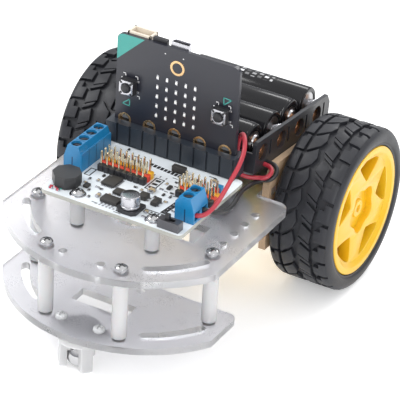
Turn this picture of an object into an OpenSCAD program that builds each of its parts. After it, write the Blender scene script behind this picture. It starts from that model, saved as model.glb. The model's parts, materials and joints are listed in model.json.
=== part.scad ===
// Two wheel robot car. Millimetres, +Z up, the caster end faces -Y, the axle
// lies along X. The origin is on the ground under the middle of the car.

/* [Wheels] */
// Outer diameter of a tyre
wheel_d = 65; // [64:0.5:65]
// Width of a tyre
tyre_w = 26; // [22:1:26]
// Distance from the middle of the car to the middle of a tyre
wheel_x = 47.6; // [47.6:0.1:50]
// Diameter of the rim flange
rim_d = 51.6; // [50:0.2:52]
// Distance of the axle behind the origin
axle_y = 42; // [41:0.5:43]
/* [Decks] */
// Thickness of a deck plate
plate_t = 2.8; // [2.6:0.1:3]
// Half of the width of a deck plate
deck_half_w = 45; // [44:0.5:46]
// Radius of the rounded front
front_r = 52.2; // [51:0.2:53]
// Height of the top of the upper deck
deck_z = 46.3; // [46.2:0.1:46.6]
// Clear height between the decks
deck_gap = 25.4; // [25:0.1:26]
/* [Electronics] */
// Width of the driver board
board_w = 59; // [58:0.5:60]
// Length of the driver board
board_l = 46.5; // [46:0.5:47]
// Thickness of the printed boards
board_t = 1.6; // [1.4:0.1:1.6]
// Height of the posts under the driver board
board_lift = 10; // [9:0.5:11]
// Width of the controller board
card_w = 51.6; // [50:0.2:52]
// Height of the controller board
card_h = 42; // [41:0.5:43]
/* [Battery box] */
// Width of the box along the cells
box_w = 60.4; // [58:0.2:60.4]
// Length of the box across the cells
box_l = 60.5; // [60:0.5:62]
// Height of the end walls
box_h = 12.7; // [11:0.1:14]
// Backward tilt of the box
box_tilt = 5; // [3:0.5:6]
// Diameter of a cell
cell_d = 14.3; // [14:0.1:14.5]

/* [Hidden] */
$fn = 48;
fit = 0.05;               // running clearance on a radius
eps = 0.01;

// Heights and places worked out from the sizes above
wheel_r = wheel_d / 2;
axle_z = wheel_r;
under_deck = deck_z - plate_t;
low_top = under_deck - deck_gap;
low_under = low_top - plate_t;
front_y = -74.5;                     // foremost point of the decks
arc_y = front_y + front_r;           // centre of the rounded front
ear_y = 8;                           // rear edge of the upper deck's ears
low_rear_y = -29.5;                  // rear edge of the lower deck
neck_w = 60.8;                       // upper deck between the brackets
neck_rear = 64;
tab_ys = [14.7, 48];                 // tabs that lock into the brackets
tab_l = 3.5;
slot_r = 43.6;                       // curved slots near the front
slot_w = 3.2;
slot_from = 29.5;
slot_to = 58.5;
m3 = 1.5;
m3_hole = 1.6;
post_r = 2.9;
row_x = 37;                          // hole rows beside the electronics
row_y = -29.1;
row_pitch = 8;
wiring_hole = [0, -29, 9.2];         // place and radius of the round hole in the upper deck
low_slot = [-11.6, -53.5, 23.2, 8.2]; // corner and size of the slot in the lower deck
pair_x = 8;                          // hole pair for the caster
pair_y = -65.6;
post_places = [[-15.7, -64.5], [15.7, -64.5], [-37.2, -37.2], [37.2, -37.2]];
board_x = 1.5;
board_y = -50.5;                     // front edge of the driver board
board_z = deck_z + board_lift;
pcb_top = board_z + board_t;
board_places = [[-14.5, -46], [17.1, -46], [-14.5, -16.2], [17.1, -16.2]];
pin_pitch = 2.54;
headers = [[-17.9, 8], [15.2, 6]];   // left edge and number of pins in a row
header_y = -27.9;
strip_h = 2.5;
pin_h = 5.8;
pin_w = 0.64;
terminal_pitch = 5.08;
terminal_top = 10;
terminal_screw_x = 3.9;              // from the back of a terminal block
motor_terminal = [-21.5, -32.6];
power_terminal = [23.1, -41.3];
inductor_place = [-21.8, -41.9];
cap_place = [6.8, -44.7];
switch_place = [25, -47.6];
// Chips: centre, size and height
chips = [[-8.6, -32, 6.3, 7.6, 1], [-2.6, -37, 4.2, 4.2, 1], [-1.7, -44, 7, 4.2, 1.5],
    [6.8, -35.2, 3.4, 4, 1.8], [6.8, -29.6, 2.2, 3, 1.2], [12.4, -36, 2.4, 4.4, 1.6],
    [-14.6, -39.8, 2, 2.6, 1], [-7.6, -43.2, 1.6, 3, 0.9], [27, -19, 2.4, 2.2, 3],
    [27.4, -16.4, 2.4, 2.2, 3], [-24.8, -48.1, 1.6, 0.9, 0.6], [-21.8, -48.1, 1.6, 0.9, 0.6],
    [-26, -9.4, 3.2, 4.4, 1.4], [11, -24, 1.4, 2.6, 0.8], [12.6, -43, 1.2, 2, 0.7],
    [-13.4, -34, 0.9, 1.6, 0.5], [-13.4, -30, 0.9, 1.6, 0.5], [8, -12, 5.4, 2.2, 2.6],
    [22, -10.6, 1.4, 2.4, 0.8], [-4.6, -40.6, 0.9, 1.6, 0.5], [11.6, -29.4, 0.9, 1.6, 0.5]];
card_y = -2.8;                       // front face of the controller board
card_z = 60.2;                       // bottom edge of the controller board
ball_r = 4.76;
ball_y = -65.6;
gap = 0.3;                           // between the ball and its housing
gear_x = 21;                         // middle of a gearbox
gear_t = 18.8;
gear_h = 21.9;
gear_front = axle_y - 25.8;
shell_wall = 1.5;
bolt_dy = 20.3;                      // gearbox bolts ahead of the axle
bolt_dz = 8.2;
shaft_r = 2.7;
window_turn = 26;                    // where the first wheel window sits
can_r = 10;
can_w = 15.2;                        // across the flats of a motor can
can_l = 25;
collar_l = 7;
box_y = 4.8;
box_z = deck_z + 10;
cell_pitch = 14.6;
cell_first = 8.35;
cell_len = 49.5;
box_floor = 1.5;
box_post_x = 20;
box_post_ys = [15.4, 44.6];           // along the tilted floor of the box
cell_z = box_floor + cell_d / 2 + 0.1;
ring_xs = [-21.5, -10.8, 0, 10.8, 21.5];
ring_z = card_z + 6.7;
led_pitch = 3.97;
led_z = 80.7;                        // middle of the display
button_x = 19.6;
button_z = 82;
reset_place = [-8.7, 101.4];
lead_r = 0.85;
lead_ys = [7.9, 10.4];                // where the leads go through the wall of the box
lead_z = 1.6;
box_hole_r = 3.5;                    // round windows beside the ends of the cells
box_hole_z = 7.1;
end_t = 1.5;
wall_in = box_w / 2 - end_t;

// ---------- helpers ----------
module sides() {
    for (s = [-1, 1]) scale([s, 1, 1]) children();
}
module side(s) {
    if (s < 0) mirror([1, 0, 0]) children();
    else children();
}
module along_x(h, r, center = false) {
    rotate([0, 90, 0]) cylinder(h = h, r = r, center = center);
}
module along_y(h, r) {
    rotate([-90, 0, 0]) cylinder(h = h, r = r);
}
// Domed cross-head screw: the head stands on z = 0, the shank hangs below
module screw(len, r = m3, head_r = 2.5, head_h = 1.9) {
    difference() {
        union() {
            rotate_extrude() polygon(concat([[0, 0]],
                [for (i = [0:6]) let (a = i * 15)
                    [head_r * cos(a), head_h * (0.3 * (i > 0 ? 1 : 0) + 0.7 * sin(a))]]));
            translate([0, 0, -len]) cylinder(h = len + eps, r = r);
        }
        for (a = [0, 90]) rotate([0, 0, a]) translate([-1.5, -0.35, head_h - 1.1]) cube([3, 0.7, 2]);
    }
}
module post(h, r = post_r) {
    difference() {
        cylinder(h = h, r = r);
        translate([0, 0, -1]) cylinder(h = h + 2, r = m3 + 0.05);
    }
}
module bar_round(w, l, r) {
    translate([0, r]) square([w, l - 2 * r]);
    translate([r, 0]) square([w - 2 * r, l]);
    for (x = [r, w - r], y = [r, l - r]) translate([x, y]) circle(r = r);
}

// ---------- decks ----------
module deck_outline(rear, r) {
    intersection() {
        translate([-deck_half_w, front_y - 10]) bar_round(2 * deck_half_w, rear - front_y + 10, r);
        union() {
            translate([0, arc_y]) circle(r = front_r, $fn = 96);
            translate([-deck_half_w - 10, arc_y]) square([2 * deck_half_w + 20, ear_y - arc_y + 10]);
        }
    }
}
module curved_slots() {
    for (s = [-1, 1]) translate([0, arc_y]) {
        intersection() {
            difference() {
                circle(r = slot_r + slot_w / 2, $fn = 96);
                circle(r = slot_r - slot_w / 2, $fn = 96);
            }
            polygon([[0, 0],
                [s * 60 * cos(slot_from), -60 * sin(slot_from)],
                [s * 60 * cos((slot_from + slot_to) / 2), -60 * sin((slot_from + slot_to) / 2)],
                [s * 60 * cos(slot_to), -60 * sin(slot_to)]]);
        }
        for (a = [slot_from, slot_to])
            translate([s * slot_r * cos(a), -slot_r * sin(a)]) circle(d = slot_w - 0.04);
    }
}
module deck_holes() {
    for (p = post_places) translate(p) circle(r = m3_hole);
    for (s = [-1, 1]) translate([s * pair_x, pair_y]) circle(r = m3_hole);
    curved_slots();
}
module upper_deck() {
    color([0.86, 0.86, 0.9, 0.6]) translate([0, 0, under_deck]) linear_extrude(plate_t) difference() {
        union() {
            deck_outline(ear_y, 5);
            translate([-neck_w / 2, ear_y - 1]) square([neck_w, neck_rear - ear_y + 1]);
            for (s = [-1, 1], y = tab_ys)
                translate([s * (neck_w + plate_t) / 2 - (plate_t + 1) / 2 - s * 0.5, y])
                    square([plate_t + 1, tab_l]);
        }
        deck_holes();
        for (s = [-1, 1], i = [0:3]) translate([s * row_x, row_y + i * row_pitch]) circle(r = m3_hole);
        translate([wiring_hole[0], wiring_hole[1]]) circle(r = wiring_hole[2]);
        for (s = [-1, 1]) translate([s * 24.1 - 4, -35.1]) square([8, 12.5]);
        for (p = board_places) translate(p) circle(r = m3_hole);
        for (s = [-1, 1], y = box_post_ys)
            translate([s * box_post_x, box_y + y * cos(box_tilt)]) circle(r = m3_hole);
    }
}
module lower_deck() {
    color([0.86, 0.86, 0.9, 0.6]) translate([0, 0, low_under]) linear_extrude(plate_t) difference() {
        deck_outline(low_rear_y, 3);
        deck_holes();
        translate([low_slot[0], low_slot[1]]) square([low_slot[2], low_slot[3]]);
        for (s = [-1, 1]) translate([s * 7.2, -35.2]) circle(r = m3_hole);
    }
}
module deck_posts() {
    color("white") for (p = post_places) translate([p[0], p[1], low_top]) post(deck_gap);
}
module upper_deck_screws() {
    color("silver") for (p = post_places) translate([p[0], p[1], deck_z]) screw(8);
}
module lower_deck_screws() {
    color("silver") for (p = post_places) translate([p[0], p[1], low_under]) mirror([0, 0, 1]) screw(8);
}

// ---------- caster ----------
module caster_housing() {
    flange_h = 3.2;
    reach = 8;
    color("white") translate([0, ball_y, 0]) difference() {
        union() {
            translate([0, 0, low_under - flange_h]) linear_extrude(flange_h) {
                circle(r = reach);
                for (s = [-1, 1]) translate([s * pair_x, pair_y - ball_y]) circle(r = 4);
                translate([-pair_x, pair_y - ball_y - 4]) square([2 * pair_x, 8]);
            }
            for (a = [-35, 90, 215]) rotate([0, 0, a]) intersection() {
                translate([0, 0, 1]) difference() {
                    cylinder(h = low_under - 1 - eps, r = reach - 0.4);
                    cylinder(h = 7, r = ball_r + gap);
                }
                translate([3.4, -2.3, 1]) cube([5, 4.6, low_under - 2]);
            }
        }
        translate([0, 0, ball_r]) sphere(r = ball_r + gap);
        for (s = [-1, 1]) translate([s * pair_x, pair_y - ball_y, low_under - 6]) cylinder(h = 8, r = 1.3);
    }
}
module caster_ball() {
    color("silver") translate([0, ball_y, ball_r]) sphere(r = ball_r);
}
module caster_screws() {
    color("whitesmoke") for (s = [-1, 1]) translate([s * pair_x, pair_y, low_top])
        screw(5.5, 1.25, 2.3, 1.8);
}

// ---------- motors ----------
module bracket_plate_2d(y0, y1, z0) {
    lean = tan(box_tilt);
    polygon([[y0, z0], [y1 - 14, z0], [y1, z0 + 14], [y1, 57 - lean * (y1 - 9)],
        [y0 + 6, 57 - lean * y0], [y0, 49]]);
}
module outer_bracket(s) {
    x0 = gear_x + gear_t / 2;
    color("tan") side(s) translate([x0, 0, 0]) rotate([90, 0, 90]) linear_extrude(plate_t) difference() {
        bracket_plate_2d(12.4, 56, 20.5);
        translate([axle_y, axle_z]) circle(r = 4.1);
        for (d = [-1, 1]) translate([axle_y - bolt_dy, axle_z + d * bolt_dz]) circle(r = 3.25, $fn = 6);
        for (y = tab_ys) translate([y - 0.1, under_deck - 0.1]) square([tab_l + 0.2, plate_t + 0.2]);
    }
}
module inner_bracket(s) {
    x0 = gear_x - gear_t / 2 - plate_t;
    color("tan") side(s) translate([x0, 0, 0]) rotate([90, 0, 90]) linear_extrude(plate_t) difference() {
        translate([16.2, 20.5]) square([33, under_deck - 20.5]);
        translate([axle_y, axle_z]) circle(r = 4.1);
        for (d = [-1, 1]) translate([axle_y - bolt_dy, axle_z + d * bolt_dz]) circle(r = m3_hole);
    }
}
module gearbox_outline(inset) {
    r = gear_h / 2 - inset;
    translate([axle_y, axle_z]) circle(r = r);
    translate([gear_front + inset, axle_z - r]) square([axle_y - gear_front - inset, 2 * r]);
}
// Collar of the gearbox round the front of its motor, split between the two shells at x = gear_x
module motor_collar() {
    wall = 0.9;
    difference() {
        can_body(gear_front - collar_l, collar_l + eps, can_r + wall, can_w + 2 * wall);
        can_body(gear_front - collar_l - 1, collar_l + 2, can_r + fit, can_w + 2 * fit);
    }
}
module shell_half(is_outer) {
    half = gear_t / 2;
    rotate([90, 0, 90]) difference() {
        union() {
            linear_extrude(half) gearbox_outline(0);
            translate([axle_y, axle_z, half - eps]) cylinder(h = 1.8, r = 3.9);
            if (is_outer) linear_extrude(3) difference() {
                translate([axle_y, axle_z - 4.5]) square([15.5, 9]);
                translate([axle_y + 12.9, axle_z]) circle(r = m3_hole);
            }
        }
        translate([0, 0, -eps]) linear_extrude(half - shell_wall) difference() {
            gearbox_outline(shell_wall);
            for (d = [-1, 1]) translate([axle_y - bolt_dy, axle_z + d * bolt_dz]) circle(r = 3);
        }
        for (d = [-1, 1])
            translate([axle_y - bolt_dy, axle_z + d * bolt_dz, -1]) cylinder(h = 12, r = m3_hole);
        translate([axle_y, axle_z, -1]) cylinder(h = 14, r = shaft_r + fit);
        translate([gear_front - 1, axle_z, 0]) rotate([0, 90, 0]) cylinder(h = 4, r = 3.2);
    }
}
module gearbox_shell(s, is_outer) {
    color("gold") side(s) {
        translate([gear_x, 0, 0]) {
            if (is_outer) shell_half(true);
            else mirror([1, 0, 0]) shell_half(false);
        }
        intersection() {
            motor_collar();
            translate([gear_x - (is_outer ? 0 : gear_t), 0, 0]) cube([gear_t, axle_y, 2 * axle_z]);
        }
    }
}
module can_body(y, l, r, w) {
    translate([gear_x, y, axle_z]) intersection() {
        along_y(l, r);
        translate([-w / 2, -1, -r - 1]) cube([w, l + 2, 2 * r + 2]);
    }
}
module motor_can(s) {
    color("silver") side(s) {
        can_body(gear_front - can_l, can_l, can_r, can_w);
        translate([gear_x, gear_front - eps, axle_z]) along_y(shell_wall, 3.1);
    }
}
module motor_end_caps() {
    color("white") sides() can_body(gear_front - can_l - 3, 3, can_r - 0.3, can_w - 0.4);
}
module motor_straps() {
    color("whitesmoke") sides() difference() {
        can_body(2, 5, can_r + 0.8, can_w + 1.8);
        can_body(1, 7, can_r + 0.02, can_w + 0.04);
    }
}
module gearbox_bolts() {
    x0 = gear_x - gear_t / 2 - plate_t;
    color("silver") sides() for (d = [-1, 1]) translate([x0, axle_y - bolt_dy, axle_z + d * bolt_dz])
        rotate([0, -90, 0]) screw(gear_t + 2 * plate_t - 0.2);
}
module gearbox_nuts() {
    x0 = gear_x + gear_t / 2 + 0.1;
    color("silver") sides() for (d = [-1, 1]) translate([x0, axle_y - bolt_dy, axle_z + d * bolt_dz])
        rotate([90, 0, 90]) difference() {
            cylinder(h = 2.4, r = 3.15, $fn = 6);
            translate([0, 0, -1]) cylinder(h = 5, r = m3 + 0.05);
        }
}
module output_shaft(s) {
    x0 = gear_x - gear_t / 2 - 1;
    x1 = wheel_x + 3;
    color("white") side(s) difference() {
        translate([x0, axle_y, axle_z]) along_x(x1 - x0, shaft_r);
        for (d = [-1, 1]) translate([wheel_x - 10, axle_y - 4, axle_z + d * 2.85 - 1]) cube([20, 8, 2]);
    }
}
module output_gear(s) {
    teeth = 24;
    tip = 8.9;
    root = 7.8;
    color("white") side(s) translate([gear_x + 2, axle_y, axle_z]) rotate([90, 0, 90]) linear_extrude(4)
        difference() {
            polygon([for (i = [0:teeth - 1], k = [0:3]) let (
                    a = (i + [0, 0.2, 0.5, 0.7][k]) * 360 / teeth,
                    r = [root, tip, tip, root][k]) [r * cos(a), r * sin(a)]]);
            circle(r = shaft_r + 0.01);
        }
}

// ---------- wheels ----------
module tyre(s) {
    half = tyre_w / 2;
    sh = 3.4;
    bore = rim_d / 2 - 1.5;
    color([0.2, 0.2, 0.22]) side(s) translate([wheel_x, axle_y, axle_z]) rotate([0, 90, 0])
        rotate_extrude($fn = 96)
        polygon(concat(
            [[bore, -half + 1.6], [bore + 2, -half + 0.4]],
            [for (i = [0:6]) [wheel_r - sh + sh * sin(i * 15), -half + sh - sh * cos(i * 15)]],
            [for (i = [6:-1:0]) [wheel_r - sh + sh * sin(i * 15), half - sh + sh * cos(i * 15)]],
            [[rim_d / 2 + 0.4, half - 0.2], [rim_d / 2 + 0.1, half - 2.4], [bore, half - 2.8]]));
}
// Rounded triangle between two spokes, pointing at the axle
module spoke_window() {
    tip_x = 12.2;
    tip_w = 1.4;
    wide_r = 21;
    half_angle = 25;
    intersection() {
        circle(r = wide_r, $fn = 96);
        polygon([[tip_x, -tip_w], [wide_r + 2, -(wide_r + 2) * tan(half_angle)],
            [wide_r + 2, (wide_r + 2) * tan(half_angle)], [tip_x, tip_w]]);
    }
}
module wheel_hub(s) {
    half = tyre_w / 2;
    drum = rim_d / 2 - 1.55;
    inner = drum - 1.7;
    face = half - 2;                  // front of the spoke disc
    disc_t = 4;
    lip = half - 0.5;                 // outer face of the flange
    boss_r = 6.4;
    bore_l = 14.2;
    color("gold") side(s) translate([wheel_x, axle_y, axle_z]) rotate([0, 90, 0]) difference() {
        union() {
            rotate_extrude($fn = 96) polygon([
                [inner, 2 - half], [drum, 2 - half], [drum, half - 2.3], [rim_d / 2, half - 1.9],
                [rim_d / 2, lip - 0.4], [rim_d / 2 - 0.6, lip], [rim_d / 2 - 2.8, lip],
                [inner - 1, face + 0.2], [inner - 1, face - 2], [inner, face - 2]]);
            translate([0, 0, face - disc_t]) cylinder(h = disc_t, r = inner - 0.5);
            translate([0, 0, -10.6]) cylinder(h = face + 7, r = boss_r);
        }
        for (i = [0:4]) rotate([0, 0, window_turn + i * 72]) translate([0, 0, face - disc_t - 1])
            linear_extrude(disc_t + 2) spoke_window();
        translate([0, 0, -11]) cylinder(h = bore_l, r = shaft_r + 0.02);
        translate([0, 0, face - 2]) cylinder(h = 4, r = 8.6);
    }
}

// ---------- driver board ----------
module driver_board() {
    color("white") translate([0, 0, board_z]) linear_extrude(board_t) difference() {
        translate([board_x - board_w / 2, board_y]) bar_round(board_w, board_l, 2);
        for (p = board_places) translate(p) circle(r = m3_hole);
    }
}
module board_posts() {
    color("white") {
        for (p = board_places) translate([p[0], p[1], deck_z]) post(board_lift, 2.75);
        sides() for (y = box_post_ys) difference() {
            translate([box_post_x, box_y + y * cos(box_tilt), deck_z]) union() {
                post(12, 2.75);
                translate([0, 0, -plate_t]) cylinder(h = plate_t + 1, r = m3 + 0.05);
            }
            on_box() translate([-40, -5, 0]) cube([80, 80, 20]);
        }
    }
}
module board_screws() {
    color("silver") {
        for (p = board_places) translate([p[0], p[1], pcb_top]) screw(5);
        for (p = board_places) translate([p[0], p[1], under_deck]) mirror([0, 0, 1]) screw(5, m3, 2.5, 1.6);
        on_box() for (s = [-1, 1], y = box_post_ys) translate([s * box_post_x, y, box_floor])
            screw(3, 1.2, 2.2, 1.4);
    }
}
module edge_connector() {
    y0 = -6.5;
    y1 = 1.5;
    slack = 0.15;                    // room for the contact rings on both faces of the board
    ribs = 10;
    wide = 55;
    tall = 8.6;
    color([0.2, 0.21, 0.24]) difference() {
        union() {
            translate([-wide / 2, y0 + 0.6, pcb_top]) cube([wide, y1 - y0 - 0.6, tall]);
            for (i = [0:ribs - 1]) translate([(i / ribs - 0.5) * wide, y0, pcb_top + 0.6])
                cube([wide / ribs - 0.8, 0.62, tall - 0.6]);
        }
        translate([-card_w / 2 - 0.2, card_y - slack, card_z])
            cube([card_w + 0.4, board_t + 2 * slack, 20]);
    }
}
// Screw terminal block with its wire openings towards +X
module terminal_block(ways) {
    long = ways * terminal_pitch;
    top = terminal_top;
    difference() {
        rotate([90, 0, 0]) translate([0, 0, -long]) linear_extrude(long)
            polygon([[0, 0], [7.8, 0], [7.8, 4.8], [6.2, top], [1.6, top], [0.6, 7.6], [0, 7.6]]);
        for (i = [0:ways - 1]) translate([0, (i + 0.5) * terminal_pitch, 0]) {
            translate([terminal_screw_x, 0, 7.2]) cylinder(h = 4, r = 2);
            translate([4, -1.7, 1]) cube([5, 3.4, 3.4]);
        }
    }
}
module motor_terminal_block() {
    color("dodgerblue") translate([motor_terminal[0], motor_terminal[1], pcb_top])
        mirror([1, 0, 0]) terminal_block(4);
}
module power_terminal_block() {
    color("dodgerblue") translate([power_terminal[0], power_terminal[1], pcb_top]) terminal_block(2);
}
module terminal_screws() {
    module slotted() {
        difference() {
            cylinder(h = 1.9, r = 1.85);
            translate([-2, -0.3, 1.1]) cube([4, 0.6, 2]);
        }
    }
    module row(place, across, ways, first, step) {
        for (i = [0:ways - 1])
            translate([place[0] + across, place[1] + (i + 0.5) * terminal_pitch, pcb_top + 7.2])
                rotate([0, 0, first + step * i]) slotted();
    }
    color("silver") {
        row(motor_terminal, -terminal_screw_x, 4, 0, 40);
        row(power_terminal, terminal_screw_x, 2, 25, 60);
    }
}
module header_strip(row) {
    for (h = headers) translate([h[0], header_y + row * pin_pitch, pcb_top])
        cube([h[1] * pin_pitch, pin_pitch - 0.04, strip_h]);
}
module header_pins() {
    color([0.85, 0.7, 0.35]) for (h = headers, row = [0:2], i = [0:h[1] - 1])
        translate([h[0] + (i + 0.5) * pin_pitch, header_y + (row + 0.5) * pin_pitch, pcb_top + strip_h])
            translate([-pin_w / 2, -pin_w / 2, 0]) cube([pin_w, pin_w, pin_h]);
}
module inductor() {
    color([0.2, 0.2, 0.22]) translate([inductor_place[0], inductor_place[1], pcb_top])
        rotate([0, 0, 22.5]) {
            cylinder(h = 1, r = 5.2, $fn = 8);
            translate([0, 0, 1 - eps]) cylinder(h = 3.9, r = 5.5, $fn = 8);
        }
}
module capacitor_base() {
    color([0.15, 0.15, 0.17]) translate([cap_place[0] - 4.1, cap_place[1] - 4.1, pcb_top])
        linear_extrude(1.4) polygon([[1.4, 0], [6.8, 0], [8.2, 1.4], [8.2, 8.2], [0, 8.2], [0, 1.4]]);
}
module capacitor_can() {
    color("silver") translate([cap_place[0], cap_place[1], pcb_top + 1.4]) rotate_extrude()
        polygon([[0, 0], [3.6, 0], [3.6, 0.7], [3.3, 1], [3.6, 1.3], [3.6, 4.7], [3.3, 5], [0, 5]]);
}
module board_chips() {
    legs = 4;
    color([0.18, 0.18, 0.2]) {
        for (c = chips) translate([c[0] - c[2] / 2, c[1] - c[3] / 2, pcb_top]) cube([c[2], c[3], c[4]]);
        for (s = [-1, 1], i = [0:legs - 1])
            translate([-1.7 + (i - 1.5) * 1.5 - 0.25, -44 + s * 2.75 - 0.65, pcb_top]) cube([0.5, 1.3, 0.5]);
    }
}
module switch_frame() {
    color("dimgray") translate([switch_place[0], switch_place[1], pcb_top]) difference() {
        translate([-4.3, -1.85, 0]) cube([8.6, 3.7, 3.5]);
        translate([-1.9, -0.8, 1.4]) cube([3.8, 1.6, 3]);
    }
}
module switch_lever() {
    color("black") translate([switch_place[0], switch_place[1], pcb_top])
        translate([-1.85, -0.75, 1.45]) cube([1.7, 1.5, 4.1]);
}

// ---------- controller board ----------
module card_plane() {
    translate([0, card_y, 0]) rotate([90, 0, 0]) children();
}
module controller_board() {
    color([0.12, 0.13, 0.17]) card_plane() translate([0, 0, -board_t]) linear_extrude(board_t) difference() {
        translate([-card_w / 2, card_z]) bar_round(card_w, card_h, 2.6);
        for (x = ring_xs) translate([x, ring_z]) circle(r = 2.75);
    }
}
module display_leds() {
    color("white") card_plane() {
        for (i = [-2:2], j = [-2:2])
            translate([i * led_pitch - 0.5, led_z + j * led_pitch - 0.95, 0]) cube([1, 1.9, 0.6]);
    }
}
module contact_rings() {
    color([0.8, 0.6, 0.35]) card_plane() {
        for (x = ring_xs) translate([x, ring_z, -board_t - 0.1]) difference() {
            cylinder(h = board_t + 0.2, r = 2.75);
            translate([0, 0, -1]) cylinder(h = board_t + 2, r = 2);
        }
        translate([0, 94.7, 0]) difference() {
            cylinder(h = 0.12, r = 3);
            translate([0, 0, -1]) cylinder(h = 2, r = 2.1);
        }
    }
}
module button_frames() {
    color("silver") {
        card_plane() for (s = [-1, 1]) translate([s * button_x, button_z, 0]) difference() {
            translate([-3, -3, 0]) cube([6, 6, 3.4]);
            translate([0, 0, 1.6]) cylinder(h = 4, r = 1.75 + fit);
        }
        translate([reset_place[0], card_y + board_t, reset_place[1]]) difference() {
            translate([-3, 0, -2.4]) cube([6, 1.7, 4.6]);
            translate([0, 0.6, 0]) along_y(4, 1.3 + fit);
        }
    }
}
module button_cap(s) {
    color("black") card_plane() translate([s * button_x, button_z, 1.9]) cylinder(h = 2.4, r = 1.75);
}
module reset_button() {
    color("black") translate([reset_place[0], card_y + board_t + 0.85, reset_place[1]])
        along_y(1.75, 1.3);
}
module card_sockets() {
    back = card_y + board_t;
    color("ivory") translate([-22.6, back, 95.4]) difference() {
        cube([10, 5.5, 7.6]);
        translate([1, 1, 2]) cube([8, 3.6, 7]);
    }
    color("silver") translate([-4, back, 98.8]) difference() {
        cube([7.5, 2.7, 5.2]);
        translate([0.4, 0.4, 1.5]) cube([6.7, 1.9, 5]);
    }
    color("black") {
        translate([-3, back, 84]) cube([6, 1, 6]);
        translate([8, back, 88]) cube([5, 1, 5]);
        translate([-16, back, 78]) cube([3, 0.9, 3]);
    }
}

// ---------- battery box ----------
module on_box() {
    translate([0, box_y, box_z]) rotate([-box_tilt, 0, 0]) children();
}
module battery_box() {
    low_wall = 8;
    color([0.15, 0.15, 0.17]) on_box() difference() {
        union() {
            translate([-box_w / 2, 0, 0]) cube([box_w, box_l, box_floor]);
            for (y = [0, box_l - 1.1]) translate([-box_w / 2, y, 0]) cube([box_w, 1.1, low_wall]);
            for (s = [-1, 1]) translate([s * (box_w - end_t) / 2, 0, 0]) rotate([90, 0, 90])
                translate([0, 0, -end_t / 2]) linear_extrude(end_t)
                    polygon([[0, 0], [box_l, 0], [box_l, box_h - 3.5], [box_l - 2.5, box_h],
                        [1, box_h], [0, box_h - 1]]);
            for (i = [1:3], s = [-1, 1])
                translate([s * 26.6 - 1.4, cell_first + (i - 0.5) * cell_pitch - 0.4, box_floor - eps])
                    cube([2.8, 0.8, 8]);
        }
        for (s = [-1, 1], i = [0:3]) translate([s * box_w / 2, cell_first + i * cell_pitch, 0]) {
            translate([-4, -2.4, box_hole_z]) along_x(8, box_hole_r);
            translate([-4, 2.6, 4.4]) cube([8, 1.1, 6]);
        }
        for (s = [-1, 1], y = box_post_ys) translate([s * box_post_x, y, -1]) cylinder(h = 4, r = 1.4);
        for (y = lead_ys) translate([box_w / 2 - 4, y, lead_z]) along_x(8, lead_r + 0.15);
    }
}
module battery_cells() {
    color([0.1, 0.1, 0.12]) on_box() for (i = [0:3]) translate([0, cell_first + i * cell_pitch, cell_z])
        rotate([0, i % 2 == 0 ? 90 : -90, 0]) rotate_extrude() polygon([
            [0, -cell_len / 2], [6.6, -cell_len / 2], [cell_d / 2, 0.6 - cell_len / 2],
            [cell_d / 2, cell_len / 2 - 0.6], [6.6, cell_len / 2], [2.8, cell_len / 2],
            [2.8, cell_len / 2 + 1], [0, cell_len / 2 + 1]]);
}
module battery_contacts() {
    color([0.75, 0.55, 0.3]) on_box() for (i = [0:3], s = [-1, 1])
        translate([s * (wall_in - 0.25) - 0.25, cell_first + i * cell_pitch - 5.4, box_floor + 0.2])
            cube([0.5, 10.8, 10.4]);
    color("silver") on_box() for (i = [0:3]) {
        tail = i % 2 == 0 ? -1 : 1;
        mid_tail = (cell_len / 2 + wall_in - 0.5) / 2;
        mid_nub = (cell_len / 2 + 1 + wall_in - 0.5) / 2;
        translate([tail * mid_tail, cell_first + i * cell_pitch, cell_z])
            along_x(wall_in - 0.5 - cell_len / 2, 3.4, true);
        translate([-tail * mid_nub, cell_first + i * cell_pitch, cell_z])
            along_x(wall_in - 1.5 - cell_len / 2, 2.2, true);
    }
}

// ---------- battery leads ----------
// Points on a smooth curve through the route, with one more between two points
function curve(p) = [for (i = [0:len(p) - 2], t = [0, 0.5])
    let (a = p[max(i - 1, 0)], b = p[i], c = p[i + 1], d = p[min(i + 2, len(p) - 1)])
        ((2 * b) + (c - a) * t + (2 * a - 5 * b + 4 * c - d) * t * t
            + (3 * b - a - 3 * c + d) * t * t * t) / 2];
function unit(v) = v / norm(v);
// A side direction carried along the tube, square to each of its directions
function carry(ts, u, i = 0) = i == len(ts) ? []
    : let (v = unit(u - ts[i] * (u * ts[i]))) concat([v], carry(ts, v, i + 1));
module tube(route, r, n = 8) {
    q = concat(curve(route), [route[len(route) - 1]]);
    m = len(q);
    ts = [for (i = [0:m - 1]) unit(q[min(i + 1, m - 1)] - q[max(i - 1, 0)])];
    us = carry(ts, [0, 0, 1]);
    rings = [for (i = [0:m - 1]) let (v = cross(ts[i], us[i]))
        for (k = [0:n - 1]) q[i] + r * (us[i] * cos(360 * k / n) + v * sin(360 * k / n))];
    faces = concat([[for (k = [0:n - 1]) k]],
        [for (i = [0:m - 2], k = [0:n - 1])
            [i * n + k, (i + 1) * n + k, (i + 1) * n + (k + 1) % n, i * n + (k + 1) % n]],
        [[for (k = [n - 1:-1:0]) (m - 1) * n + k]]);
    polyhedron(rings, faces);
}
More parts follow.
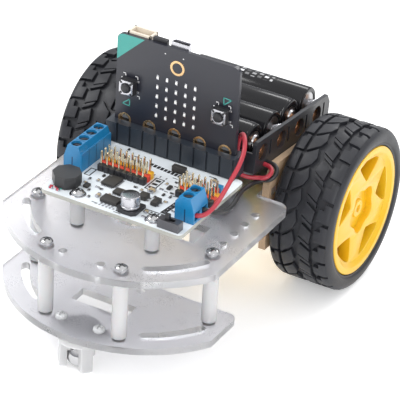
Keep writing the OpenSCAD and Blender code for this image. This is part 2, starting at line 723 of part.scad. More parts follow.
red_route = [[28, -38.7, 60.6], [31, -38.6, 60.6], [33.2, -36.5, 61], [33.9, -31.6, 62], [33.2, -24.6, 63.4],
    [32.2, -17, 65.2], [31.6, -10.6, 67.6], [30.9, -6, 70.6], [29.2, -2.2, 73.2], [26.7, 1, 74],
    [24.5, 2.9, 71.4], [23.6, 3.2, 66], [23.7, 3.1, 60.6], [25.2, 3.4, 56], [28, 5, 54.5],
    [31.2, 6.9, 54.4], [33, 7.3, 54.6], [34.2, 8.4, 55.1], [34.6, 9.8, 55.8], [34.2, 11.3, 56.4],
    [33, 12.3, 56.9], [31.4, 12.7, 57.1], [29, 12.8, 57.2]];
black_route = [[28, -33.6, 60.6], [31, -33.5, 60.5], [33.8, -31.4, 59.4], [34.9, -26.2, 57.6],
    [34.3, -19.6, 56], [32.6, -13, 54.9], [30.8, -6.6, 53.9], [29.8, -0.6, 53], [30, 5.4, 52.3],
    [31.9, 9, 52.6], [33.8, 9.4, 52.9], [35.2, 10.5, 53.7], [35.7, 12.1, 54.8], [35.2, 13.7, 55.8],
    [33.8, 14.8, 56.6], [31.9, 15.2, 56.9], [29, 15.3, 57]];
module battery_lead_red() {
    color("red") tube(red_route, lead_r);
}
module battery_lead_black() {
    color("black") tube(black_route, lead_r);
}

upper_deck();
lower_deck();
deck_posts();
upper_deck_screws();
lower_deck_screws();
caster_housing();
caster_ball();
caster_screws();
outer_bracket(-1);  // outer_bracket_left
outer_bracket(1);  // outer_bracket_right
inner_bracket(-1);  // inner_bracket_left
inner_bracket(1);  // inner_bracket_right
gearbox_shell(-1, true);  // gearbox_shell_outer_left
gearbox_shell(1, true);  // gearbox_shell_outer_right
gearbox_shell(-1, false);  // gearbox_shell_inner_left
gearbox_shell(1, false);  // gearbox_shell_inner_right
motor_can(-1);  // motor_can_left
motor_can(1);  // motor_can_right
motor_end_caps();
motor_straps();
gearbox_bolts();
gearbox_nuts();
output_shaft(-1);  // output_shaft_left
output_shaft(1);  // output_shaft_right
output_gear(-1);  // output_gear_left
output_gear(1);  // output_gear_right
wheel_hub(-1);  // wheel_hub_left
wheel_hub(1);  // wheel_hub_right
tyre(-1);  // tyre_left
tyre(1);  // tyre_right
driver_board();
board_posts();
board_screws();
edge_connector();
motor_terminal_block();
power_terminal_block();
terminal_screws();
color([0.1, 0.1, 0.1]) header_strip(0);  // header_strips_black
color("red") header_strip(1);  // header_strips_red
color("gold") header_strip(2);  // header_strips_yellow
header_pins();
inductor();
capacitor_base();
capacitor_can();
board_chips();
switch_frame();
switch_lever();
controller_board();
display_leds();
contact_rings();
button_frames();
button_cap(-1);  // button_a
button_cap(1);  // button_b
reset_button();
card_sockets();
battery_box();
battery_cells();
battery_contacts();
battery_lead_red();
battery_lead_black();
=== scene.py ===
"""Looks of the two wheel robot car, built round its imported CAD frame.

Blender works in metres. Outlines and profiles below are written in millimetres, because that is how
the parts are sized, and Piece turns them into metres when a piece is finished.
"""

import json
import math
import random
from functools import partial

import bmesh
import bpy
from mathutils import Matrix, Vector


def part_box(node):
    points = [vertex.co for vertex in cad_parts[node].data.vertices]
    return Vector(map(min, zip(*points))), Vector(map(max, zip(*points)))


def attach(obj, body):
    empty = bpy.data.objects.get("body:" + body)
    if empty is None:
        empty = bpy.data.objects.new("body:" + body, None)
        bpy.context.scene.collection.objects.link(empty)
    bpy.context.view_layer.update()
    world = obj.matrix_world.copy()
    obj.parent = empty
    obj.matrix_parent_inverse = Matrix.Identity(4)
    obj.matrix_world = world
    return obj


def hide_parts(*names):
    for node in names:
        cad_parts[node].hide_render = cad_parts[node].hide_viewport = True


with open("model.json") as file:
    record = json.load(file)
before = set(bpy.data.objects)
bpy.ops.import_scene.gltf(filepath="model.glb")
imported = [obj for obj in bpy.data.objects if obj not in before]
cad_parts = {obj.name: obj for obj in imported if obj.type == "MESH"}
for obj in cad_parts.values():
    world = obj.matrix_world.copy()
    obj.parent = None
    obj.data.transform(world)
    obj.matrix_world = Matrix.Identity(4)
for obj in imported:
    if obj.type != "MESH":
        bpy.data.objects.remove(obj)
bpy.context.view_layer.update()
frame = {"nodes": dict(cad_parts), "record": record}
NODES = frame["nodes"]
MM = 0.001
TINY = 1e-6
TURN = 2 * math.pi
random.seed(7)


def box_mm(node):
    """Lowest and highest corner of a CAD node, in millimetres"""
    low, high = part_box(node)
    return low / MM, high / MM


def link(name, data):
    """New object in the scene that shows the given data"""
    made = bpy.data.objects.new(name, data)
    bpy.context.scene.collection.objects.link(made)
    return made


# ---------- camera and light ----------
CAM_AZIMUTH = 28.23
CAM_ELEVATION = 30.75
CAM_ROLL = 3.26
CAM_TARGET = Vector((0.52, 19.29, 28.22)) * MM
CAM_DISTANCE = 896.65 * MM
CAM_LENS = 209.17


def make_camera():
    turn, rise, roll = (math.radians(a) for a in (CAM_AZIMUTH, CAM_ELEVATION, CAM_ROLL))
    back = Vector((math.sin(turn) * math.cos(rise), -math.cos(turn) * math.cos(rise), math.sin(rise)))
    right = Vector((math.cos(turn), math.sin(turn), 0))
    up = back.cross(right)
    rolled_right = right * math.cos(roll) + up * math.sin(roll)
    rolled_up = up * math.cos(roll) - right * math.sin(roll)
    data = bpy.data.cameras.new("camera")
    data.lens = CAM_LENS
    data.sensor_width = 36
    data.clip_start = 0.05
    camera = link("camera", data)
    axes = Matrix((rolled_right, rolled_up, back)).transposed()
    camera.matrix_world = Matrix.Translation(CAM_TARGET + back * CAM_DISTANCE) @ axes.to_4x4()
    bpy.context.scene.camera = camera


def make_light(name, place, size, watts):
    data = bpy.data.lights.new(name, "AREA")
    data.shape = "RECTANGLE"
    data.size, data.size_y = size
    data.energy = watts
    light = link(name, data)
    light.location = place
    light.rotation_euler = (Vector(place) - CAM_TARGET).to_track_quat("Z", "Y").to_euler()


def make_studio():
    make_light("key_light", (-0.75, -0.35, 0.95), (0.45, 0.6), 6.5)
    make_light("fill_light", (0.75, -0.75, 0.6), (0.3, 0.5), 3.5)
    make_light("back_light", (0.1, 0.95, 0.8), (0.9, 0.25), 5.0)
    world = bpy.data.worlds.new("studio")
    world.use_nodes = True
    tree = world.node_tree
    place = add_node(tree, "ShaderNodeTexCoord").outputs["Generated"]
    parts = add_node(tree, "ShaderNodeSeparateXYZ", {"Vector": place})
    sky = [(0.0, (0.3, 0.31, 0.34)), (0.12, (0.36, 0.37, 0.4)), (0.62, (1, 1, 1))]
    shades = add_ramp(tree, parts.outputs["Z"], sky)
    background = tree.nodes["Background"]
    tree.links.new(shades, background.inputs["Color"])
    background.inputs["Strength"].default_value = 1.12
    bpy.context.scene.world = world
    bpy.context.scene.view_settings.view_transform = "Standard"


def make_floor():
    half = 4.0
    mesh = bpy.data.meshes.new("floor")
    corners = [(-half, -half, 0), (half, -half, 0), (half, half, 0), (-half, half, 0)]
    mesh.from_pydata(corners, [], [(0, 1, 2, 3)])
    floor = link("floor", mesh)
    paper = surface("floor_paper", (0.96, 0.96, 0.96), 0.8, spread=0.01, patch=60, edge=0,
                    Emission_Color=(1, 1, 1, 1), Emission_Strength=0.3)
    floor.data.materials.append(paper)


# ---------- materials ----------
def add_node(tree, kind, inputs=None, **settings):
    made = tree.nodes.new(kind)
    for key, value in settings.items():
        setattr(made, key, value)
    for key, value in (inputs or {}).items():
        if isinstance(value, bpy.types.NodeSocket):
            tree.links.new(value, made.inputs[key])
        else:
            made.inputs[key].default_value = value
    return made


def add_ramp(tree, factor, stops, sharp=False):
    """Colour ramp with the given (place, colour) stops; returns its colour output"""
    ramp = add_node(tree, "ShaderNodeValToRGB", {"Fac": factor})
    ramp.color_ramp.interpolation = "CONSTANT" if sharp else "LINEAR"
    while len(ramp.color_ramp.elements) < len(stops):
        ramp.color_ramp.elements.new(0.5)
    for element, (place, colour) in zip(ramp.color_ramp.elements, stops):
        element.position = place
        element.color = (*colour, 1)
    return ramp.outputs["Color"]


def add_range(tree, value, low, high, from_low=0.3, from_high=0.7):
    inputs = {"Value": value, "From Min": from_low, "From Max": from_high, "To Min": low, "To Max": high}
    return add_node(tree, "ShaderNodeMapRange", inputs).outputs["Result"]


def add_noise(tree, place, size, detail=3.0, stretch=None):
    """Noise whose blobs are about size millimetres; stretch scales its X, Y and Z"""
    if stretch:
        place = add_node(tree, "ShaderNodeMapping", {"Vector": place, "Scale": stretch}).outputs["Vector"]
    inputs = {"Vector": place, "Scale": 1 / (size * MM), "Detail": detail}
    return add_node(tree, "ShaderNodeTexNoise", inputs).outputs["Fac"]


def add_mix(tree, factor, a, b, blend="MIX"):
    inputs = {"Fac": factor, "Color1": a, "Color2": b}
    return add_node(tree, "ShaderNodeMixRGB", inputs, blend_type=blend).outputs[0]


def shaded(colour, factor):
    return tuple(min(1.0, c * factor) for c in colour)


def surface(name, colour, rough, spread=0.08, rough_spread=0.08, grain=0.3, patch=7.0, bump=0.02,
            edge=0.12, stretch=None, side=None, **sockets):
    """Principled material whose grain and broad patches vary its colour, roughness and height.
    side is another colour for faces that stand upright; edge rounds hard CAD edges, in millimetres."""
    material = bpy.data.materials.new(name)
    material.use_nodes = True
    tree = material.node_tree
    shader = tree.nodes["Principled BSDF"]
    place = add_node(tree, "ShaderNodeTexCoord").outputs["Object"]
    fine = add_noise(tree, place, grain, 4.0, stretch)
    broad = add_noise(tree, place, patch, 2.0)
    both = add_node(tree, "ShaderNodeMath", {0: fine, 1: broad}, operation="ADD")
    half = add_node(tree, "ShaderNodeMath", {0: both.outputs[0], 1: 0.5}, operation="MULTIPLY").outputs[0]
    colours = add_ramp(tree, half, [(0.35, shaded(colour, 1 - spread)), (0.65, shaded(colour, 1 + spread))])
    if side:
        normal = add_node(tree, "ShaderNodeNewGeometry").outputs["Normal"]
        height = add_node(tree, "ShaderNodeSeparateXYZ", {"Vector": normal}).outputs["Z"]
        upright = add_node(tree, "ShaderNodeMath", {0: height}, operation="ABSOLUTE").outputs[0]
        colours = add_mix(tree, add_range(tree, upright, 0, 1, 0.45, 0.55), (*side, 1), colours)
    tree.links.new(colours, shader.inputs["Base Color"])
    tree.links.new(add_range(tree, half, max(0.02, rough - rough_spread), min(1, rough + rough_spread)),
                   shader.inputs["Roughness"])
    height = add_node(tree, "ShaderNodeBump", {"Height": fine, "Distance": bump * MM, "Strength": 0.6})
    if edge:
        rounded = add_node(tree, "ShaderNodeBevel", {"Radius": edge * MM}, samples=4)
        tree.links.new(rounded.outputs["Normal"], height.inputs["Normal"])
    tree.links.new(height.outputs["Normal"], shader.inputs["Normal"])
    for key, value in sockets.items():
        shader.inputs[key.replace("_", " ")].default_value = value
    return material


def dotted_wrap(name):
    """Glossy dark cell wrap with a pale generic print of small bricks on one side"""
    material = surface(name, (0.009, 0.009, 0.011), 0.17, spread=0.2, rough_spread=0.05, bump=0.004, edge=0,
                       Specular_IOR_Level=0.32)
    tree = material.node_tree
    shader = tree.nodes["Principled BSDF"]
    around = add_node(tree, "ShaderNodeUVMap", uv_map="wrap").outputs["UV"]
    bricks = add_node(tree, "ShaderNodeTexBrick", {
        "Vector": around, "Scale": 9.0, "Mortar Size": 0.1, "Brick Width": 0.42, "Row Height": 0.5,
        "Color1": (1, 1, 1, 1), "Color2": (0, 0, 0, 1), "Mortar": (0, 0, 0, 1)})
    parts = add_node(tree, "ShaderNodeSeparateXYZ", {"Vector": around})
    band = add_ramp(tree, parts.outputs["Y"], [(0.0, (0, 0, 0)), (0.3, (1, 1, 1)), (0.66, (0, 0, 0))], True)
    area = add_ramp(tree, parts.outputs["X"], [(0.0, (0, 0, 0)), (0.42, (1, 1, 1)), (0.62, (0, 0, 0))], True)
    patch = add_mix(tree, 1.0, band, area, "MULTIPLY")
    marks = add_mix(tree, 1.0, patch, bricks.outputs["Color"], "MULTIPLY")
    old = shader.inputs["Base Color"].links[0].from_socket
    tree.links.new(add_mix(tree, marks, old, (0.75, 0.76, 0.78, 1)), shader.inputs["Base Color"])
    return material


# Colour in linear light, roughness, and whatever differs from surface()'s own settings
LOOKS = {
    # satin clear sheet; its upright cut edges are painted near white, a painted highlight
    "acrylic": ((0.77, 0.77, 0.805), 0.3, dict(
        spread=0.015, rough_spread=0.05, patch=12, bump=0.006, side=(0.98, 0.98, 0.985),
        Transmission_Weight=0.9, IOR=1.45, Specular_IOR_Level=0.6)),
    "nylon": ((0.55, 0.55, 0.555), 0.42, dict(spread=0.03, Subsurface_Weight=0.15, Subsurface_Scale=0.002)),
    "clear_nylon": ((0.86, 0.87, 0.88), 0.3, dict(spread=0.03, Transmission_Weight=0.35)),
    "white_nylon": ((0.64, 0.64, 0.645), 0.42, dict(
        spread=0.03, Subsurface_Weight=0.2, Subsurface_Scale=0.002)),
    # caster housing: white, with its upright faces painted darker, a painted shade
    "caster_nylon_painted_shade": ((0.93, 0.93, 0.94), 0.42, dict(
        spread=0.02, side=(0.5, 0.5, 0.505), Subsurface_Weight=0.9, Subsurface_Scale=0.004,
        Subsurface_Radius=(1, 1, 1))),
    "chrome": ((0.5, 0.5, 0.51), 0.1, dict(spread=0.06, bump=0.004, Metallic=1.0)),
    "kraft": ((0.47, 0.33, 0.215), 0.75, dict(
        spread=0.14, grain=0.5, bump=0.03, stretch=(1, 0.25, 1), edge=0.1)),
    "yellow": ((0.8, 0.475, 0.01), 0.38, dict(
        spread=0.05, patch=14, bump=0.012, edge=0.15, Subsurface_Weight=0.12, Subsurface_Scale=0.003,
        Coat_Weight=0.12)),
    # gearbox shells: the hubs' yellow painted lighter, a painted light for the shade they sit in beneath the
    # deck
    "gearbox_yellow_painted_light": ((0.95, 0.66, 0.03), 0.4, dict(
        spread=0.04, bump=0.012, edge=0.15, Subsurface_Weight=0.25, Subsurface_Scale=0.004)),
    "rubber": ((0.02, 0.021, 0.026), 0.48, dict(
        spread=0.22, rough_spread=0.12, grain=0.4, patch=9, bump=0.06, Specular_IOR_Level=0.42)),
    "steel": ((0.55, 0.55, 0.56), 0.32, dict(stretch=(0.2, 1, 1), bump=0.006, Metallic=1.0)),
    "dark_steel": ((0.13, 0.13, 0.14), 0.35, dict(spread=0.15, bump=0.008, Metallic=0.9)),
    "black_plastic": ((0.02, 0.02, 0.023), 0.4, dict(spread=0.2, bump=0.015)),
    "box_plastic": ((0.02, 0.021, 0.026), 0.36, dict(spread=0.15, grain=0.25, edge=0.18)),
    "connector": ((0.022, 0.029, 0.04), 0.38, dict(spread=0.15, bump=0.015)),
    "blue": ((0.008, 0.19, 0.42), 0.33, dict(spread=0.1, bump=0.01, Coat_Weight=0.15)),
    "red_plastic": ((0.66, 0.06, 0.03), 0.38, {}),
    "yellow_strip": ((0.86, 0.45, 0.03), 0.38, {}),
    "white_pcb": ((0.74, 0.79, 0.83), 0.32, dict(
        spread=0.03, side=(0.4, 0.4, 0.36), bump=0.006, Coat_Weight=0.3)),
    "black_print": ((0.012, 0.012, 0.014), 0.5, dict(spread=0.15, edge=0)),
    "white_print": ((0.8, 0.8, 0.8), 0.5, dict(spread=0.05, edge=0)),
    "teal_print": ((0.055, 0.33, 0.29), 0.42, dict(spread=0.05, edge=0)),
    "black_pcb": ((0.016, 0.017, 0.026), 0.36, dict(
        spread=0.12, patch=20, bump=0.004, Coat_Weight=0.25, Coat_Roughness=0.25)),
    "gold": ((0.72, 0.48, 0.25), 0.28, dict(bump=0.005, Metallic=1.0)),
    "pin_gold": ((0.85, 0.74, 0.52), 0.22, dict(bump=0.004, Metallic=1.0)),
    "copper": ((0.62, 0.31, 0.16), 0.32, dict(spread=0.12, bump=0.006, Metallic=1.0)),
    "ferrite": ((0.03, 0.031, 0.033), 0.5, dict(spread=0.2, grain=0.2, bump=0.03)),
    "chip": ((0.035, 0.033, 0.031), 0.5, dict(spread=0.15, grain=0.15)),
    "red_led": ((0.5, 0.02, 0.05), 0.3, dict(spread=0.1)),
    # darker copy of the terminal blue: painted shade in the seams of the screw terminals
    "seam_shade_blue": ((0.002, 0.03, 0.09), 0.5, dict(spread=0.15, edge=0)),
    "ceramic": ((0.42, 0.33, 0.2), 0.45, dict(spread=0.1)),
    "can": ((0.5, 0.5, 0.53), 0.26, dict(spread=0.06, bump=0.005, Metallic=1.0)),
    "led": ((0.9, 0.9, 0.88), 0.35, dict(spread=0.04, Emission_Color=(1, 1, 1, 1), Emission_Strength=0.05)),
    "ivory": ((0.74, 0.66, 0.55), 0.45, dict(spread=0.06)),
    "cell_end": ((0.42, 0.42, 0.43), 0.3, dict(Metallic=1.0)),
    "red_lead": ((0.42, 0.03, 0.048), 0.36, dict(spread=0.06, bump=0.008, edge=0)),
    "black_lead": ((0.02, 0.02, 0.022), 0.36, dict(spread=0.15, bump=0.008, edge=0)),
}
M = {name: surface(name, colour, rough, **rest) for name, (colour, rough, rest) in LOOKS.items()}
M["wrap"] = dotted_wrap("wrap")


# ---------- mesh building ----------
def shift(x, y, z):
    return Matrix.Translation(Vector((x, y, z)))


def facing_x(sign):
    """Rotation that turns +Z to +X, or to -X where sign is -1"""
    return Matrix.Rotation(sign * math.pi / 2, 4, "Y")


def arc(x, y, radius, start, end, steps=6):
    """Points on an arc about x, y from the start angle to the end angle, in degrees"""
    turns = [math.radians(start + (end - start) * i / steps) for i in range(steps + 1)]
    return [(x + radius * math.cos(turn), y + radius * math.sin(turn)) for turn in turns]


def round_outline(x0, y0, x1, y1, r):
    """Rectangle whose corners are arcs of radius r"""
    corners = [(x1 - r, y1 - r, 0), (x0 + r, y1 - r, 90), (x0 + r, y0 + r, 180), (x1 - r, y0 + r, 270)]
    return [p for x, y, start in corners for p in arc(x, y, r, start, start + 90)]


def cut_square(half, cut):
    """Square with its corners cut off"""
    k = half - cut
    return [(-half, -k), (-k, -half), (k, -half), (half, -k), (half, k), (k, half), (-k, half), (-half, k)]


def circle(x, y, r, steps=40):
    turns = [TURN * i / steps for i in range(steps)]
    return [(x + r * math.cos(turn), y + r * math.sin(turn)) for turn in turns]


def pour(part, target):
    """Moves everything in one mesh into another"""
    mesh = bpy.data.meshes.new("part")
    part.to_mesh(mesh)
    part.free()
    target.from_mesh(mesh)
    bpy.data.meshes.remove(mesh)


def round_edges(part, edges, offset, profile=0.5):
    bmesh.ops.bevel(part, geom=edges, offset=offset, segments=2, profile=profile, affect="EDGES")


def add_spline(data, points):
    """Open spline of straight lines in a curve"""
    spline = data.splines.new("POLY")
    spline.points.add(len(points) - 1)
    for point, place in zip(spline.points, points):
        point.co = (*place, 1)
    return spline


class Piece:
    """One named piece: rounded solids in millimetres, joined in one mesh that rides on a body"""

    def __init__(self, name, body, *materials):
        self.name = name
        self.body = body
        self.materials = [M[m] for m in materials]
        self.bm = bmesh.new()

    def take(self, part, matrix=None, material=0):
        bmesh.ops.recalc_face_normals(part, faces=part.faces)
        for face in part.faces:
            face.material_index = material
            face.smooth = True
        if matrix is not None:
            part.transform(matrix)
            if matrix.determinant() < 0:
                bmesh.ops.reverse_faces(part, faces=part.faces)
        pour(part, self.bm)

    def box(self, low, high, soft=0.1, material=0, matrix=None):
        low, high = Vector(low), Vector(high)
        part = bmesh.new()
        bmesh.ops.create_cube(part, size=1)
        size = high - low
        part.transform(Matrix.Translation((low + high) / 2) @ Matrix.Diagonal((*size, 1)))
        if soft:
            soft = min(soft, min(abs(s) for s in size) * 0.45)
            round_edges(part, part.edges[:], soft)
        self.take(part, matrix, material)

    def prism(self, outline, z0, z1, soft=0.1, material=0, matrix=None, taper=None):
        part = bmesh.new()
        bottom = part.faces.new([part.verts.new((x, y, z0)) for x, y in outline])
        raised = bmesh.ops.extrude_face_region(part, geom=[bottom])["geom"]
        for v in raised:
            if isinstance(v, bmesh.types.BMVert):
                v.co.z = z1
                if taper:
                    v.co.x, v.co.y = taper(v.co.x, v.co.y)
        if soft:
            rims = [e for e in part.edges if abs(e.verts[0].co.z - e.verts[1].co.z) < TINY]
            round_edges(part, rims, soft)
        self.take(part, matrix, material)

    def lathe(self, profile, steps=48, material=0, matrix=None, closed=False, uv=None):
        """Turns (radius, height) points about Z; closed joins the last point to the first"""
        part = bmesh.new()
        rings = []
        for r, z in profile:
            if r < TINY:
                rings.append([part.verts.new((0, 0, z))] * steps)
            else:
                rings.append([part.verts.new((x, y, z)) for x, y in circle(0, 0, r, steps)])
        pairs = list(zip(rings, rings[1:])) + ([(rings[-1], rings[0])] if closed else [])
        layer = part.loops.layers.uv.new(uv) if uv else None
        low = min(z for _, z in profile)
        high = max(z for _, z in profile)
        for a, b in pairs:
            for i in range(steps):
                k = (i + 1) % steps
                corners = []
                for v in (a[i], a[k], b[k], b[i]):
                    if v not in corners:
                        corners.append(v)
                if len(corners) < 3:
                    continue
                face = part.faces.new(corners)
                if layer:
                    for loop in face.loops:
                        share = (i + (1 if loop.vert in (a[k], b[k]) else 0)) / steps
                        loop[layer].uv = (share, (loop.vert.co.z - low) / (high - low))
        self.take(part, matrix, material)

    def plate(self, outline, holes, z0, z1, soft=0.1, material=0, matrix=None):
        """Flat plate with holes and rounded edges"""
        data = bpy.data.curves.new("plate", "CURVE")
        data.dimensions = "2D"
        data.fill_mode = "BOTH"
        data.extrude = (z1 - z0) / 2 - soft
        data.bevel_depth = soft
        data.bevel_resolution = 1
        data.offset = -soft
        for points in [outline, *holes]:
            add_spline(data, [(x, y, 0) for x, y in points]).use_cyclic_u = True
        carrier = link("plate", data)
        mesh = carrier.to_mesh()
        part = bmesh.new()
        part.from_mesh(mesh)
        carrier.to_mesh_clear()
        bpy.data.objects.remove(carrier)
        bpy.data.curves.remove(data)
        bmesh.ops.remove_doubles(part, verts=part.verts[:], dist=1e-4)
        part.transform(shift(0, 0, (z0 + z1) / 2))
        self.take(part, matrix, material)

    def sweep(self, points, radius, sides=10, material=0, matrix=None):
        """Round wire along a list of points"""
        points = [Vector(p) for p in points]
        part = bmesh.new()
        side = Vector((0.3, 0.5, 0.8))
        rings = []
        for i, p in enumerate(points):
            ahead = (points[min(i + 1, len(points) - 1)] - points[max(i - 1, 0)]).normalized()
            side = (side - ahead * side.dot(ahead)).normalized()
            other = ahead.cross(side)
            rings.append([part.verts.new(p + side * x + other * y) for x, y in circle(0, 0, radius, sides)])
        for a, b in zip(rings, rings[1:]):
            for k in range(sides):
                part.faces.new((a[k], a[(k + 1) % sides], b[(k + 1) % sides], b[k]))
        part.faces.new(rings[0][::-1])
        part.faces.new(rings[-1])
        self.take(part, matrix, material)

    def done(self, *replaced, slot, sharp=40):
        self.bm.transform(Matrix.Scale(MM, 4))
        mesh = bpy.data.meshes.new(self.name)
        self.bm.to_mesh(mesh)
        self.bm.free()
        mesh.set_sharp_from_angle(angle=math.radians(sharp))
        for material in self.materials:
            mesh.materials.append(material)
        made = link(self.name, mesh)
        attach(made, self.body)
        if replaced:
            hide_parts(*replaced)
        return made


def dress(material, names):
    """Gives CAD nodes their material"""
    for name in names:
        mesh = NODES[name].data
        mesh.materials.clear()
        mesh.materials.append(M[material])


# ---------- battery leads ----------
LEAD_D = 1.7 * MM
RED_ROUTE = [(28, -38.7, 60.6), (31, -38.6, 60.6), (33.2, -36.5, 61), (33.9, -31.6, 62), (33.2, -24.6, 63.4),
             (32.2, -17, 65.2), (31.6, -10.6, 67.6), (30.9, -6, 70.6), (29.2, -2.2, 73.2), (26.7, 1, 74),
             (24.5, 2.9, 71.4), (23.6, 3.2, 66), (23.7, 3.1, 60.6), (25.2, 3.4, 56), (28, 5, 54.5),
             (31.2, 6.9, 54.4), (33, 7.3, 54.6), (34.2, 8.4, 55.1), (34.6, 9.8, 55.8), (34.2, 11.3, 56.4),
             (33, 12.3, 56.9), (31.4, 12.7, 57.1), (29, 12.8, 57.2)]
BLACK_ROUTE = [(28, -33.6, 60.6), (31, -33.5, 60.5), (33.8, -31.4, 59.4), (34.9, -26.2, 57.6),
               (34.3, -19.6, 56), (32.6, -13, 54.9), (30.8, -6.6, 53.9), (29.8, -0.6, 53), (30, 5.4, 52.3),
               (31.9, 9, 52.6), (33.8, 9.4, 52.9), (35.2, 10.5, 53.7), (35.7, 12.1, 54.8), (35.2, 13.7, 55.8),
               (33.8, 14.8, 56.6), (31.9, 15.2, 56.9), (29, 15.3, 57)]


def smooth_route(route, steps=6):
    """Points in metres on a smooth curve through the route, which is in millimetres"""
    p = [Vector(q) * MM for q in route]
    made = []
    for i in range(len(p) - 1):
        a, b, c, d = p[max(i - 1, 0)], p[i], p[i + 1], p[min(i + 2, len(p) - 1)]
        for k in range(steps):
            t = k / steps
            made.append((2 * b + (c - a) * t + (2 * a - 5 * b + 4 * c - d) * t * t
                         + (3 * b - a - 3 * c + d) * t ** 3) / 2)
    return made + [p[-1]]


def make_lead(name, node, route, material):
    points = smooth_route(route)
    data = bpy.data.curves.new(name, "CURVE")
    data.dimensions = "3D"
    data.bevel_depth = LEAD_D / 2
    data.bevel_resolution = 4
    data.use_fill_caps = True
    add_spline(data, points)
    lead = link(name, data)
    data.materials.append(M[material])
    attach(lead, "chassis")
    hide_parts(node)


# ---------- wheels ----------
PITCHES = 24            # tread pitches round a tyre
TREAD_DEPTH = 1.5
SHOULDER = 3.4          # radius of the tyre's shoulder
BEAD_R = 24.35          # where the tyre sits on the hub's drum
WINDOWS = 5             # in the face of a hub
FIRST_WINDOW = 8        # angle of the right hub's first window


def which_side(side):
    """Word for a wheel's side, its body and the middle, half width and radius of its tyre"""
    word = "right" if side > 0 else "left"
    low, high = box_mm("tyre_" + word)
    return word, "wheel_" + word, (low + high) / 2, (high.x - low.x) / 2, (high.z - low.z) / 2


def crown_drop(v, half):
    """How far the tread surface falls below the full radius, v from the middle of the tread"""
    over = max(0.0, abs(v) - (half - SHOULDER))
    return SHOULDER - math.sqrt(max(0.0, SHOULDER ** 2 - min(over, SHOULDER) ** 2))


def tread_blocks(pitch):
    """Outlines of the rubber blocks in one pitch, as (across, along) points"""
    groove = 1.35
    full = pitch - groove
    shoulder_in = [(-11.6, 0), (-7.9, 0), (-7.9, full), (-9.6, full + 0.3), (-9.6, full - 1.5),
                   (-11.6, full - 1.5)]
    rise = 3.6
    inner = [(-6.7, 0), (-2.3, rise), (-1.2, rise + full * 0.42), (-2.4, rise + full), (-4.4, full * 1.22),
             (-6.7, full)]
    split = 0.66 * pitch        # where the two middle blocks part
    big = split - groove / 2
    start = 1.5 + split + groove / 2
    small = pitch - split - groove * 0.9
    fall = 2.6
    mid_big = [(0.2, 1.5), (4.9, 1.5 - fall), (5.4, 1.5 - fall + big), (1.1, 1.5 + big)]
    mid_small = [(1.1, start), (5.4, start - fall), (5.1, start - fall + small), (0.4, start + small)]
    shoulder_out = [(6.6, 0.8), (11.7, 0), (11.7, full), (8.9, full + 0.5), (8.9, full - 2),
                    (6.6, full - 1.8)]
    return [shoulder_in, inner, mid_big, mid_small, shoulder_out]


def slice_mesh(part, axis, cuts):
    """Cuts a flat mesh across an axis, so that it can be bent"""
    for cut in cuts:
        everything = part.verts[:] + part.edges[:] + part.faces[:]
        bmesh.ops.bisect_plane(part, geom=everything, plane_co=axis * cut, plane_no=axis)


def flat_tread(pitch):
    """Mesh of one pitch of tread, still flat: X across, Y along, Z up from the groove floor"""
    unit = bmesh.new()
    for points in tread_blocks(pitch):
        block = bmesh.new()
        bottom = block.faces.new([block.verts.new((x, y, -0.25)) for x, y in points])
        top = bmesh.ops.extrude_face_region(block, geom=[bottom])["geom"]
        for v in top:
            if isinstance(v, bmesh.types.BMVert):
                v.co.z = TREAD_DEPTH
        rims = [e for e in block.edges if all(v.co.z > 0 for v in e.verts)]
        round_edges(block, rims, 0.16, 0.6)
        pour(block, unit)
    slice_mesh(unit, Vector((0, 1, 0)), [pitch * k / 6 - 3 for k in range(14)])
    slice_mesh(unit, Vector((1, 0, 0)), (-11, -10.3, 10.3, 11))
    bmesh.ops.recalc_face_normals(unit, faces=unit.faces)
    flat = bpy.data.meshes.new("unit")
    unit.to_mesh(flat)
    unit.free()
    return flat


def tyre_wall(radius, half, sign):
    """Profile from the groove floor over the shoulder and down one side wall"""
    edge = half - 1.25
    outer = [(radius - crown_drop(v, half), sign * v) for v in (edge, half - 0.85, half - 0.45, half - 0.15)]
    return [(radius - TREAD_DEPTH, sign * (edge - 0.5)), *outer, (radius - SHOULDER, sign * half),
            (radius - 4.6, sign * (half - 0.05)), (radius - 5.3, sign * (half - 0.35)),
            (radius - 5.5, sign * (half - 0.7))]


def make_tyre(side):
    word, body, middle, half, radius = which_side(side)
    pitch = TURN * radius / PITCHES
    piece = Piece(f"tyre_{word}_tread", body, "rubber")
    outer_face = tyre_wall(radius, half, 1) + [(26.1, half - 0.75), (25.95, half - 2.4), (BEAD_R, half - 2.8)]
    inner_face = tyre_wall(radius, half, -1) + [(26, 0.9 - half), (25, 1.2 - half), (BEAD_R, 1.8 - half)]
    profile = inner_face[::-1] + outer_face
    spin = facing_x(1) if side > 0 else facing_x(1) @ Matrix.Rotation(math.pi, 4, "X")
    at = Matrix.Translation(middle)
    piece.lathe(profile, 150, matrix=at @ spin, closed=True)
    flat = flat_tread(pitch)
    for n in range(PITCHES):
        part = bmesh.new()
        part.from_mesh(flat)
        for v in part.verts:
            r = radius - TREAD_DEPTH + v.co.z - crown_drop(v.co.x, half) * (v.co.z > 0.5)
            turn = (v.co.y + n * pitch) / radius
            v.co = Vector((v.co.x * side, -r * math.cos(turn), r * math.sin(turn)))
        piece.take(part, at)
    bpy.data.meshes.remove(flat)
    piece.done("tyre_" + word, slot="rubber", sharp=38)


def hub_windows(first, side):
    """Outlines of the windows between a hub's spokes: each widens towards the rim"""
    wide = 8.4
    reach = 20.4
    tip = 12.3
    half_edge = [(reach - 1.7, wide), (reach - 0.3, wide - 0.9), (reach + 0.35, 3.5)]
    corners = [(tip, -1), *[(x, -y) for x, y in half_edge], (reach + 0.45, 0), *half_edge[::-1], (tip, 1),
               (tip - 0.5, 0)]
    shape = smooth_outline(corners, 0.28)
    made = []
    for i in range(WINDOWS):
        turn = math.radians(first + 360 / WINDOWS * i * side)
        cos, sin = math.cos(turn), math.sin(turn)
        made.append([(x * cos - y * sin, x * sin + y * cos) for x, y in shape])
    return made


